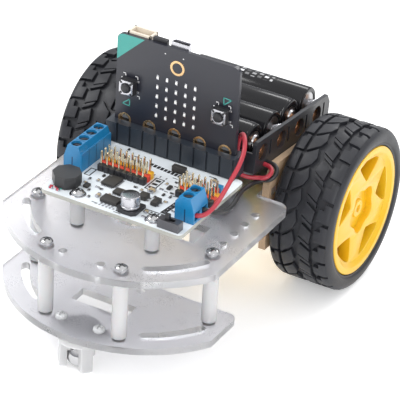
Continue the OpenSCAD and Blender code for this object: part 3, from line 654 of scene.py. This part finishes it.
def hub_dish(first, steps=60):
    """Outline of the dish round the boss, with a lobe towards each spoke"""
    phase = math.radians(first + 180 / WINDOWS)
    made = []
    for k in range(steps):
        turn = TURN * k / steps
        reach = 8.9 + 0.9 * math.cos(WINDOWS * (turn - phase))
        made.append((reach * math.cos(turn), reach * math.sin(turn)))
    return made


def make_hub(side):
    word, body, middle, half, _ = which_side(side)
    node = "wheel_hub_" + word
    low, high = box_mm(node)
    rim = (high.z - low.z) / 2
    drum = rim - 1.55
    inner = drum - 1.7
    lip = half - 0.5
    face = half - 2
    piece = Piece(node + "_spoked", body, "yellow")
    # Local X runs to the back of the car, local Y up and local Z outward
    at = Matrix.Translation(middle) @ Matrix(((0, 0, side, 0), (1, 0, 0, 0), (0, 1, 0, 0), (0, 0, 0, 1)))
    ring = [(inner, 2 - half), (drum - 0.2, 2 - half), (drum, 2.3 - half), (drum, half - 2.4),
            (rim - 0.3, half - 1.9), (rim, half - 1.6), (rim, lip - 0.5), (rim - 0.15, lip - 0.15),
            (rim - 0.5, lip), (rim - 2.3, lip), (rim - 2.7, lip - 0.15), (rim - 3.0, lip - 0.6),
            (inner - 0.9, face + 0.15), (inner - 1.1, face - 0.1), (inner - 1.1, face - 3.8),
            (inner, face - 4.2)]
    piece.lathe(ring, 128, matrix=at, closed=True)
    first = FIRST_WINDOW if side > 0 else 180 - FIRST_WINDOW
    holes = [*hub_windows(first, side), hub_dish(first)]
    piece.plate(circle(0, 0, inner - 0.1, 96), holes, face - 4.6, face, 0.22, matrix=at)
    boss = [(r, face - drop) for r, drop in (
        (2.6, 6), (2.6, 3.4), (1.5, 3), (0, 3), (0, 2.4), (1.3, 2.4), (1.6, 1.5), (3.3, 1.5), (3.6, 1.8),
        (3.8, 2.4), (9.6, 2.6), (9.9, 3), (9.9, 4.4), (6.4, 4.6))]
    tube = [(6.4, -10.4), (6.2, -10.6), (2.8, -10.6), (2.72, -10.3), (2.72, 3), (2.6, 3)]
    piece.lathe(boss + tube, 64, matrix=at, closed=True)
    piece.done(node, slot="yellow_plastic", sharp=35)


def smooth_outline(corners, share):
    """Rounds the corners of a closed outline by cutting them twice"""
    for _ in range(2):
        cut = []
        n = len(corners)
        for i in range(n):
            (x0, y0), (x1, y1) = corners[i], corners[(i + 1) % n]
            cut.append((x0 + (x1 - x0) * share, y0 + (y1 - y0) * share))
            cut.append((x1 + (x0 - x1) * share, y1 + (y0 - y1) * share))
        corners = cut
    return corners


# ---------- flat marks ----------
PCB_TOP = round(box_mm("driver_board")[1].z, 2)
CARD_Y = round(box_mm("controller_board")[0].y, 2)          # its front face
CARD_BACK = round(box_mm("controller_board")[1].y, 2)
ON_BOARD = shift(0, 0, PCB_TOP)
ON_CARD = Matrix(((1, 0, 0, 0), (0, 0, -1, CARD_Y), (0, 1, 0, 0), (0, 0, 0, 1)))
ON_CARD_BACK = Matrix(((-1, 0, 0, 0), (0, 0, 1, CARD_BACK), (0, 1, 0, 0), (0, 0, 0, 1)))
THIN = 0.03


def line(piece, place, a, b, width, material=0, height=THIN):
    """Flat bar from a to b on a board's surface"""
    a, b = Vector(a), Vector(b)
    way = b - a
    turn = Matrix.Rotation(math.atan2(way.y, way.x), 4, "Z")
    at = place @ shift((a.x + b.x) / 2, (a.y + b.y) / 2, 0) @ turn
    half = way.length / 2 + width / 2
    piece.box((-half, -width / 2, 0), (half, width / 2, height), 0, material, at)


def outline(piece, place, points, width, material=0):
    for a, b in zip(points, points[1:] + points[:1]):
        line(piece, place, a, b, width, material)


def on_surface(piece, place, cx, cy, w, h, tall, soft=0.1, material=0, lift=0.0):
    """Block w by h about cx, cy that stands on a board"""
    low = (cx - w / 2, cy - h / 2, lift)
    high = (cx + w / 2, cy + h / 2, lift + tall)
    piece.box(low, high, soft, material, place)


def make_legs(piece, place, centre, count, pitch, reach, size, tall, soft=0, sideways=False):
    """Two rows of chip legs in material 1, at reach before and behind the centre, or to its sides"""
    for d in (-1, 1):
        for i in range(count):
            step = (i - (count - 1) / 2) * pitch
            dx, dy = (d * reach, step) if sideways else (step, d * reach)
            on_surface(piece, place, centre[0] + dx, centre[1] + dy, *size, tall, soft, 1)


# ---------- driver board ----------
HEADERS = [(-17.9, 8), (15.2, 6)]           # left end and columns of each block of pins
HEADER_Y = -27.9
PIN_PITCH = 2.54
STRIP_H = 2.5
PIN_H = 5.8
PIN_TIP = 0.5
PIN_HALF = 0.32
TERMINALS = [(-21.5, -32.6, 4, -1), (23.1, -41.3, 2, 1)]     # back face, first end, ways, where it faces
TERMINAL_PITCH = 5.08
TERMINAL_TOP = PCB_TOP + 10
CAPACITOR = (6.8, -44.7)
MAIN_CHIP = (-8.6, -32)
SMALL_CHIP = (-2.6, -37)
MOTOR_CHIP = (-1.7, -44)
REGULATOR = (6.8, -35.2)
DIODE = (12.4, -36)
CHIP, METAL, CERAMIC, LAMP, RED, BLUE = range(6)             # materials of the chips, in their order
# centre, size, height and material of each block
CHIPS = [(*MAIN_CHIP, 5.5, 6.8, 1, CHIP), (*SMALL_CHIP, 3.6, 3.6, 1, CHIP), (*MOTOR_CHIP, 7, 4.2, 1.5, CHIP),
         (*REGULATOR, 3.2, 3.6, 1.8, CHIP), (6.8, -29.6, 2.2, 3, 1.2, CERAMIC), (*DIODE, 2.4, 4.4, 1.6, CHIP),
         (-14.6, -39.8, 2, 2.6, 1, CHIP), (-7.6, -43.2, 1.2, 2.4, 0.9, CERAMIC),
         (27, -19, 2.4, 2.2, 3, RED), (27.4, -16.4, 2.4, 2.2, 3, BLUE), (-24.8, -48.1, 1.6, 0.9, 0.6, LAMP),
         (-21.8, -48.1, 1.6, 0.9, 0.6, LAMP), (-26, -9.4, 3.2, 4.4, 1.4, CHIP),
         (11, -24, 1.4, 2.6, 0.8, CHIP), (12.6, -43, 1.2, 2, 0.7, CERAMIC),
         (-13.4, -34, 0.9, 1.6, 0.5, CERAMIC), (-13.4, -30, 0.9, 1.6, 0.5, CHIP),
         (8, -12, 5.4, 2.2, 2.6, CHIP), (22, -10.6, 1.4, 2.4, 0.8, CERAMIC),
         (-4.6, -40.6, 0.9, 1.6, 0.5, CERAMIC), (11.6, -29.4, 0.9, 1.6, 0.5, CHIP)]
# centre of each small part, and 1 where it lies across the car
SMALL_PARTS = [(-16.6, -34.6, 0), (-16.4, -37.6, 1), (-12.6, -41.6, 0), (-11, -38.2, 1), (-9.2, -38.6, 1),
               (-13.6, -45, 1), (-10.2, -45.6, 0), (2.4, -40.2, 0), (1.6, -33.6, 1), (3.2, -31, 0),
               (0.4, -30.4, 1), (9.6, -40.4, 1), (9.8, -32.6, 0), (14.8, -33.2, 1), (14.4, -29.6, 0),
               (8.9, -26.4, 1), (13.6, -26.8, 1), (8.6, -22, 0), (11.2, -19.2, 1), (20.4, -37.4, 1),
               (20.6, -34, 0), (15.4, -46.8, 0), (19.6, -46.2, 1), (-20, -36.4, 1), (-26.4, -37.2, 0),
               (-26.4, -8.6, 1), (-16, -8.4, 0), (13.4, -46.4, 1)]
# centre and size of each plain dash that stands for lettering
DASHES = [(12.5, -21.6, 1.8, 0.5), (11, -26.6, 1.4, 0.4), (14.7, -27.9, 2, 0.4), (-17, -40.6, 1.6, 0.3),
          (-6.4, -47.6, 2.4, 0.35), (4, -49.2, 3, 0.3), (-24, -45.4, 3.4, 0.3), (23, -43.4, 2.6, 0.4),
          (-14.4, -27, 0.4, 2), (9, -16.6, 2.2, 0.35), (20, -8, 3, 0.45), (-10.6, -11, 4, 0.45)]
BOARD_HOLES = [(-14.5, -46), (17.1, -46), (-14.5, -16.2), (17.1, -16.2)]


def make_headers():
    notched = cut_square(PIN_PITCH / 2 - 0.02, 0.42)
    square = [(-PIN_HALF, -PIN_HALF), (PIN_HALF, -PIN_HALF), (PIN_HALF, PIN_HALF), (-PIN_HALF, PIN_HALF)]
    tip = STRIP_H + PIN_H - PIN_TIP
    pins = Piece("header_pin_rows", "chassis", "pin_gold")
    rows = [("black", "black_plastic"), ("red", "red_plastic"), ("yellow", "yellow_strip")]
    for row, (colour, material) in enumerate(rows):
        node = "header_strips_" + colour
        strip = Piece(node + "_notched", "chassis", material)
        for left, count in HEADERS:
            for i in range(count):
                at = ON_BOARD @ shift(left + (i + 0.5) * PIN_PITCH, HEADER_Y + (row + 0.5) * PIN_PITCH, 0)
                strip.prism(notched, 0, STRIP_H, 0.12, matrix=at)
                pins.prism(square, STRIP_H, tip, 0, matrix=at)
                pins.prism(square, tip, tip + PIN_TIP, 0, matrix=at, taper=lambda x, y: (x * 0.45, y * 0.45))
        strip.done(node, slot=material)
    pins.done("header_pins", slot="gold_pins")


def make_chips():
    piece = Piece("chips_and_passives", "chassis", "chip", "can", "ceramic", "red_led", "red_plastic", "blue")
    put = partial(on_surface, piece, ON_BOARD)
    for cx, cy, w, h, tall, material in CHIPS:
        put(cx, cy, w, h, tall, 0.14, material, 0.05)
        if material in (CERAMIC, LAMP):
            for d in (-1, 1):
                if h > w:
                    end = (cx, cy + d * h * 0.38, w + 0.06, h * 0.26)
                else:
                    end = (cx + d * w * 0.38, cy, w * 0.26, h + 0.06)
                put(*end, tall + 0.08, 0.05, METAL)
    make_legs(piece, ON_BOARD, MAIN_CHIP, 8, 0.62, 3.75, (0.28, 0.9), 0.3)
    make_legs(piece, ON_BOARD, MAIN_CHIP, 8, 0.76, 3.1, (0.9, 0.32), 0.3, sideways=True)
    make_legs(piece, ON_BOARD, SMALL_CHIP, 5, 0.66, 2.1, (0.26, 0.7), 0.25)
    make_legs(piece, ON_BOARD, MOTOR_CHIP, 4, 1.5, 2.7, (0.5, 1.2), 0.35, 0.06)
    make_legs(piece, ON_BOARD, REGULATOR, 2, 1.9, 2, (0.9, 0.7), 0.3, 0.06, sideways=True)
    make_legs(piece, ON_BOARD, DIODE, 2, 2.4, 1.5, (0.8, 0.7), 0.3, 0.06, sideways=True)
    put(-10.4, -29.6, 0.7, 0.7, THIN, 0, METAL, 1.04)
    for i, (x, y, across) in enumerate(SMALL_PARTS):
        w, h = (1.5, 0.8) if across else (0.8, 1.5)
        put(x, y, w, h, 0.42, 0.08, (CHIP, CERAMIC, CHIP, METAL)[i % 4], 0.02)
        for d in (-0.62, 0.62):
            ex, ey, w, h = (x + d, y, 0.36, 0.86) if across else (x, y + d, 0.86, 0.36)
            put(ex, ey, w, h, 0.46, 0.06, METAL)
    piece.done("board_chips", slot="black_plastic")


def make_board_print():
    black, red, teal, metal = range(4)
    piece = Piece("board_marks", "chassis", "black_print", "red_led", "teal_print", "can")
    put = partial(on_surface, piece, ON_BOARD)
    for x0, y0, x1, y1 in ((-20.3, -32.5, -18.1, -27.5), (3.2, -28.6, 6.6, -20.2),
                           (11.4, -43.1, 19.4, -41.1)):
        outline(piece, ON_BOARD, [(x0, y0), (x1, y0), (x1, y1), (x0, y1)], 0.45)
    for i in range(3):
        put(4.9, -27 + 2.6 * i, 2.1, 1.3, THIN, 0, black)
    for i in range(5):
        put(12.7 + 1.4 * i, -42, 0.8, 0.8, THIN, 0, black)
    piece.prism([(16.6, -40.4), (18.6, -40.4), (19.6, -32.5), (17.5, -30.5)], 0, THIN, 0, black, ON_BOARD)
    for i in range(4):
        put(17.8 + 0.1 * i, -38.8 + 1.9 * i, 0.9, 0.8, THIN * 2, 0, metal)
    for i in range(10):
        put(-3.3 + 1.6 * i, -12.7 - 0.2 * i, 1.2, 1.9, THIN, 0, black)
        put(-16.4 + PIN_PITCH * i, -18.6, 0.4, 1.1, THIN, 0, black)
    for x, y, w, h in DASHES:
        put(x, y, w, h, THIN, 0, black)
    for i in range(9):
        put(-5.6 + 1.45 * i, -47.9, 0.7, 1.0, THIN, 0, metal)
    for x, material in ((-25.4, red), (-23.4, red), (-21.4, teal)):
        put(x, -46.6, 1.2, 0.7, 0.35, 0.08, material)
    piece.done(slot="black_plastic")
    rims = Piece("plated_rims", "chassis", "can")
    for x, y in BOARD_HOLES:
        rims.plate(circle(x, y, 3.1, 32), [circle(x, y, 1.9, 32)], 0, THIN, 0.01, matrix=ON_BOARD)
    rims.done(slot="can_aluminium")


def make_terminal_seams():
    """Thin lines of painted shade on the two ends of each screw terminal and between its ways"""
    piece = Piece("terminal_seams", "chassis", "seam_shade_blue")
    thin = 0.02
    seam = 0.11
    for back, first, ways, way in TERMINALS:
        for i in range(ways + 1):
            y = first + i * TERMINAL_PITCH
            if i in (0, ways):
                face = y - thin if i == 0 else y + thin
                x = back + way * 4.1
                piece.box((x - 0.2, face - thin, PCB_TOP), (x + 0.2, face + thin, PCB_TOP + 5.4), 0)
            else:
                x0, x1 = sorted((back + way * 1.7, back + way * 6.1))
                piece.box((x0, y - seam, TERMINAL_TOP - thin), (x1, y + seam, TERMINAL_TOP + thin), 0)
                x0, x1 = sorted((back - way * 0.01, back))
                piece.box((x0 - thin, y - seam, PCB_TOP), (x1 + thin, y + seam, TERMINAL_TOP - 2.4), 0)
    piece.done(slot="blue_plastic")


def make_capacitor():
    piece = Piece("capacitor_cup", "chassis", "can", "black_print")
    base = 1.4
    tall = 5
    r = 3.6
    profile = [(0, 0.02), (r - 0.2, 0.02), (r, 0.25), (r, 0.8), (3.42, 0.95), (3.32, 1.15), (3.42, 1.35),
               (r, 1.5), (r, 4.5), (3.52, 4.8), (3.3, 4.97), (3.05, tall), (0, tall)]
    at = ON_BOARD @ shift(*CAPACITOR, base)
    piece.lathe(profile, 56, 0, at)
    piece.prism(arc(0, 0, 3.1, 62, 198, 16), tall, tall + THIN, 0, 1, at)
    piece.done("capacitor_can", slot="can_aluminium")


# ---------- controller board ----------
LED_PITCH = 3.97
LED_Z = 80.7                                # middle row of lamps
BUTTONS = [("button_a", -19.6), ("button_b", 19.6)]
BUTTON_Z = 82
RESET = (8.7, 101.4)                        # on the back, seen from behind
SOCKET = (17.6, 95.4)
PLUG = (-0.25, 98.8)
PROCESSOR = (0, 87)
SECOND_CHIP = (-10.5, 90.5)
SENSOR = (14.5, 79.5)


def make_card_front():
    leds = Piece("display_dots", "controller", "led", "can")
    for i in range(-2, 3):
        for j in range(-2, 3):
            x, z = i * LED_PITCH, LED_Z + j * LED_PITCH
            on_surface(leds, ON_CARD, x, z, 0.85, 0.95, 0.5, 0.1, 0)
            for d in (-1, 1):
                on_surface(leds, ON_CARD, x, z + d * 0.72, 0.95, 0.42, 0.22, 0.05, 1)
    leds.done("display_leds", slot="led_white")
    marks = Piece("card_marks", "controller", "teal_print", "white_print")
    corner = [(-25.72, 91.2), (-14.2, 102.1), (-23.3, 102.1), (-24.6, 101.6), (-25.4, 100.8), (-25.72, 99.6)]
    marks.prism(corner, 0, THIN, 0, 0, ON_CARD)
    for triangle in ([(-22.7, 73.4), (-19.7, 75.9), (-19.6, 73.1)],
                     [(19.8, 88.8), (23.0, 88.5), (20.0, 85.9)]):
        outline(marks, ON_CARD, triangle, 0.4)
    for x, z in ((-22.6, 86.3), (-17.4, 86.1), (-16.4, 78.2), (16.9, 86.2), (22, 86.0), (23.1, 78.6)):
        line(marks, ON_CARD, (x, z), (x + 0.9, z), 0.3, 1)
        line(marks, ON_CARD, (x + 0.9, z), (x + 0.9, z - 0.9), 0.3, 1)
    for x in (-5.3, 2.3):
        line(marks, ON_CARD, (x - 0.05, 99.2), (x + 0.05, 99.2), 0.4, 1)
    marks.done(slot="led_white")


def body_of(node):
    """The body that a CAD node rides on, from the record"""
    return next(name for name, nodes in frame["record"]["behaviour"]["bodies"].items() if node in nodes)


def make_buttons():
    piece = Piece("button_housings", "controller", "black_plastic", "can", "steel")
    for node, x in BUTTONS:
        at = ON_CARD @ shift(x, BUTTON_Z, 0)
        square = round_outline(-3, -3, 3, 3, 0.3)
        piece.prism(square, 0, 1.6, 0.1, 0, at)
        piece.plate(square, [circle(0, 0, 2.0, 32)], 1.6, 3.05, 0.1, 0, at)
        piece.plate(cut_square(2.9, 0.9), [circle(0, 0, 2.0, 32)], 3.05, 3.35, 0.06, 1, at)
        for dx in (-1, 1):
            for dz in (-1, 1):
                piece.lathe([(0, 3.3), (0.5, 3.3), (0.5, 3.37), (0.35, 3.4), (0, 3.4)], 16, 0,
                            at @ shift(dx * 2.1, dz * 2.1, 0))
                on_surface(piece, at, dx * 3.35, dz * 2.2, 0.9, 0.8, 0.25, 0.06, 2)
    at = ON_CARD_BACK @ shift(*RESET, 0)
    housing = round_outline(-3, -2.4, 3, 2.2, 0.3)
    piece.plate(housing, [circle(0, 0, 1.42, 28)], 0.55, 1.65, 0.1, 0, at)
    piece.prism(housing, 0, 0.55, 0.08, 0, at)
    piece.done("button_frames", slot="button_steel")
    for node, x in BUTTONS:
        cap = Piece(node + "_cap", body_of(node), "black_plastic")
        cap.lathe([(0, 1.9), (1.75, 1.9), (1.75, 3.95), (1.66, 4.2), (1.45, 4.3), (0, 4.3)], 36, 0,
                  ON_CARD @ shift(x, BUTTON_Z, 0))
        cap.done(node, slot="black_plastic")


def make_battery_socket(piece, plastic, metal):
    """Open two-pin socket that faces the card's top edge"""
    base = ON_CARD_BACK @ shift(*SOCKET, 0)
    piece.box((-5, 0, 0), (5, 2, 5.5), 0.15, plastic, base)
    for low, high in (((-5, 1.8, 0), (-4, 7.6, 5.5)), ((4, 1.8, 0), (5, 7.6, 5.5)),
                      ((-5, 1.8, 0), (5, 7.6, 0.9)), ((-5, 1.8, 4.6), (5, 7.6, 5.5))):
        piece.box(low, high, 0.12, plastic, base)
    for x in (-1.0, 1.0):
        piece.box((x - 0.25, 1.9, 2.4), (x + 0.25, 6.4, 2.9), 0.08, metal, base)


def make_plug_shell(piece, metal, chip):
    """Steel shell of the data socket, open at the card's top edge"""
    at = shift(PLUG[0], CARD_BACK, PLUG[1])
    rim = [(-3.75, 0), (3.75, 0), (3.75, 1.7), (3.0, 2.7), (-3.0, 2.7), (-3.75, 1.7)]
    hole = [(-3.4, 0.35), (3.4, 0.35), (3.4, 1.6), (2.85, 2.35), (-2.85, 2.35), (-3.4, 1.6)]
    piece.plate(rim, [hole], 0.6, 5.2, 0.06, metal, at)
    piece.prism(rim, 0, 0.65, 0.05, metal, at)
    piece.box((-2.4, 1.0, 0.5), (2.4, 1.5, 4.4), 0.08, chip, at)


def make_card_back():
    ivory, metal, chip, white, ceramic = range(5)
    piece = Piece("card_sockets_and_chips", "controller", "ivory", "can", "chip", "white_print", "ceramic")
    make_battery_socket(piece, ivory, metal)
    make_plug_shell(piece, metal, chip)
    blocks = [(*PROCESSOR, 6, 6, 1, chip), (*SECOND_CHIP, 5, 5, 1, chip), (*SENSOR, 3, 3, 0.9, chip),
              (-18, 96, 3.2, 2.4, 0.8, chip), (-18, 84, 2.6, 2.6, 0.9, metal),
              (-9, 80.5, 2.2, 3, 0.7, ceramic), (4, 77, 3, 1.6, 0.6, ceramic)]
    for *block, material in blocks:
        on_surface(piece, ON_CARD_BACK, *block, 0.12, material)
    make_legs(piece, ON_CARD_BACK, PROCESSOR, 7, 0.75, 3.3, (0.8, 0.3), 0.3, sideways=True)
    make_legs(piece, ON_CARD_BACK, SECOND_CHIP, 7, 0.62, 2.8, (0.7, 0.28), 0.3, sideways=True)
    taken = (PROCESSOR, SECOND_CHIP, (SOCKET[0], 97), SENSOR)
    for i in range(22):
        x = random.uniform(-22, 22)
        z = random.uniform(73, 94)
        if all(math.hypot(x - cx, z - cz) > 5 for cx, cz in taken):
            on_surface(piece, ON_CARD_BACK, x, z, 1.4, 0.7, 0.4, 0.08, (chip, ceramic)[i % 2])
            for d in (-0.55, 0.55):
                on_surface(piece, ON_CARD_BACK, x + d, z, 0.35, 0.76, 0.44, 0.05, metal)
    for i in range(4):
        line(piece, ON_CARD_BACK, (-21 + 11 * i, 70.4), (-15 + 11 * i, 70.4), 0.3, white)
    piece.done("card_sockets", slot="socket_mix")


# ---------- battery box ----------
BOX_TILT = 5
IN_BOX = shift(0, 4.8, 56.3) @ Matrix.Rotation(math.radians(-BOX_TILT), 4, "X")
ON_WALL = Matrix(((0, 0, 1, 0), (1, 0, 0, 0), (0, 1, 0, 0), (0, 0, 0, 1)))      # local X back, local Y up
CELL_FIRST = 8.35                           # from the box's front to the first cell's axis
CELL_PITCH = 14.6
CELL_R = 7.15
CELL_HALF = 24.75
CELL_Z = 8.75
PRINT_TURNS = (200, 165, 215, 180)          # how each cell happens to lie
WALL_IN = 28.7


def make_cells():
    piece = Piece("wrapped_cells", "chassis", "wrap", "cell_end", "black_plastic")
    r = CELL_R
    half = CELL_HALF
    wrap = [(5.1, 0.16 - half), (5.3, -half), (6.6, -half), (7.0, 0.14 - half), (r, 0.5 - half),
            (r, half - 1.7), (7.05, half - 1.45), (6.88, half - 1.2), (7.02, half - 0.9),
            (6.95, half - 0.4), (6.5, half - 0.06), (4.4, half), (4.2, half - 0.14)]
    flat_end = [(0, 0.1 - half), (4.4, 0.1 - half), (4.7, 0.2 - half), (5.2, 0.18 - half)]
    cap = [(4.3, half - 0.14), (3.4, half - 0.1), (3.1, half), (2.85, half + 0.2), (2.8, half + 0.75),
           (2.6, half + 0.95), (2.3, half + 1), (0, half + 1)]
    for i, turn in enumerate(PRINT_TURNS):
        at = IN_BOX @ shift(0, CELL_FIRST + CELL_PITCH * i, CELL_Z) @ facing_x(1 if i % 2 == 0 else -1)
        at = at @ Matrix.Rotation(math.radians(turn), 4, "Z")
        piece.lathe(wrap, 64, 0, at, uv="wrap")
        piece.lathe(flat_end, 48, 1, at)
        piece.lathe(cap, 48, 1, at)
    piece.done("battery_cells", slot="cell_wrap", sharp=50)


def make_contacts():
    """A plate on each wall at every cell, with a spring at its flat end and a dome at its cap"""
    piece = Piece("contact_plates_and_springs", "chassis", "copper", "can")
    room = WALL_IN - 0.5 - CELL_HALF
    turns = 4.5
    steps = 72
    dome = [(0, 0), (2.4, 0), (2.2, 0.5), (1.6, 1.3), (1.2, room - 1.05), (0, room - 1.02)]
    tab = round_outline(-5.4, 1.7, 5.4, 12.1, 1.2)
    hole = circle(-2.6, 7.3, 1.5, 20)
    for i in range(len(PRINT_TURNS)):
        tail = -1 if i % 2 == 0 else 1
        y = CELL_FIRST + CELL_PITCH * i
        for side in (-1, 1):
            at = IN_BOX @ shift(side * (WALL_IN - 0.25), y, 0) @ ON_WALL
            piece.plate(tab, [hole], -0.22, 0.22, 0.05, 0, at)
        coil = []
        for k in range(steps + 1):
            share = k / steps
            turn = TURN * turns * share
            r = 3.1 - 1.5 * share
            x = WALL_IN - 0.7 - (room - 0.35) * share
            coil.append((tail * x, y + r * math.cos(turn), CELL_Z + r * math.sin(turn)))
        piece.sweep(coil, 0.28, 8, 1, IN_BOX)
        piece.lathe(dome, 28, 0, IN_BOX @ shift(-tail * (WALL_IN - 0.4), y, CELL_Z) @ facing_x(tail))
    piece.done("battery_contacts", slot="contact_brass")


# ---------- make everything ----------
# CAD nodes that show as they are, by material
CAD_LOOKS = {
    "acrylic": "upper_deck lower_deck",
    "nylon": "deck_posts board_posts output_shaft_left output_shaft_right output_gear_left output_gear_right",
    "chrome": "upper_deck_screws lower_deck_screws board_screws gearbox_bolts gearbox_nuts caster_ball",
    "clear_nylon": "caster_screws motor_straps",
    "white_nylon": "motor_end_caps",
    "caster_nylon_painted_shade": "caster_housing",
    "kraft": "outer_bracket_left outer_bracket_right inner_bracket_left inner_bracket_right",
    "gearbox_yellow_painted_light": "gearbox_shell_outer_left gearbox_shell_outer_right gearbox_shell_inner_left "
                      "gearbox_shell_inner_right",
    "steel": "motor_can_left motor_can_right",
    "black_plastic": "capacitor_base switch_lever reset_button",
    "white_pcb": "driver_board",
    "connector": "edge_connector",
    "blue": "motor_terminal_block power_terminal_block",
    "ferrite": "inductor",
    "dark_steel": "switch_frame terminal_screws",
    "black_pcb": "controller_board",
    "gold": "contact_rings",
    "box_plastic": "battery_box",
}

make_camera()
make_lead("red_cord", "battery_lead_red", RED_ROUTE, "red_lead")
make_lead("black_cord", "battery_lead_black", BLACK_ROUTE, "black_lead")
make_studio()
make_floor()

for material, names in CAD_LOOKS.items():
    dress(material, names.split())

for side in (-1, 1):
    make_tyre(side)
    make_hub(side)
make_headers()
make_chips()
make_board_print()
make_terminal_seams()
make_capacitor()
make_card_front()
make_buttons()
make_card_back()
make_cells()
make_contacts()
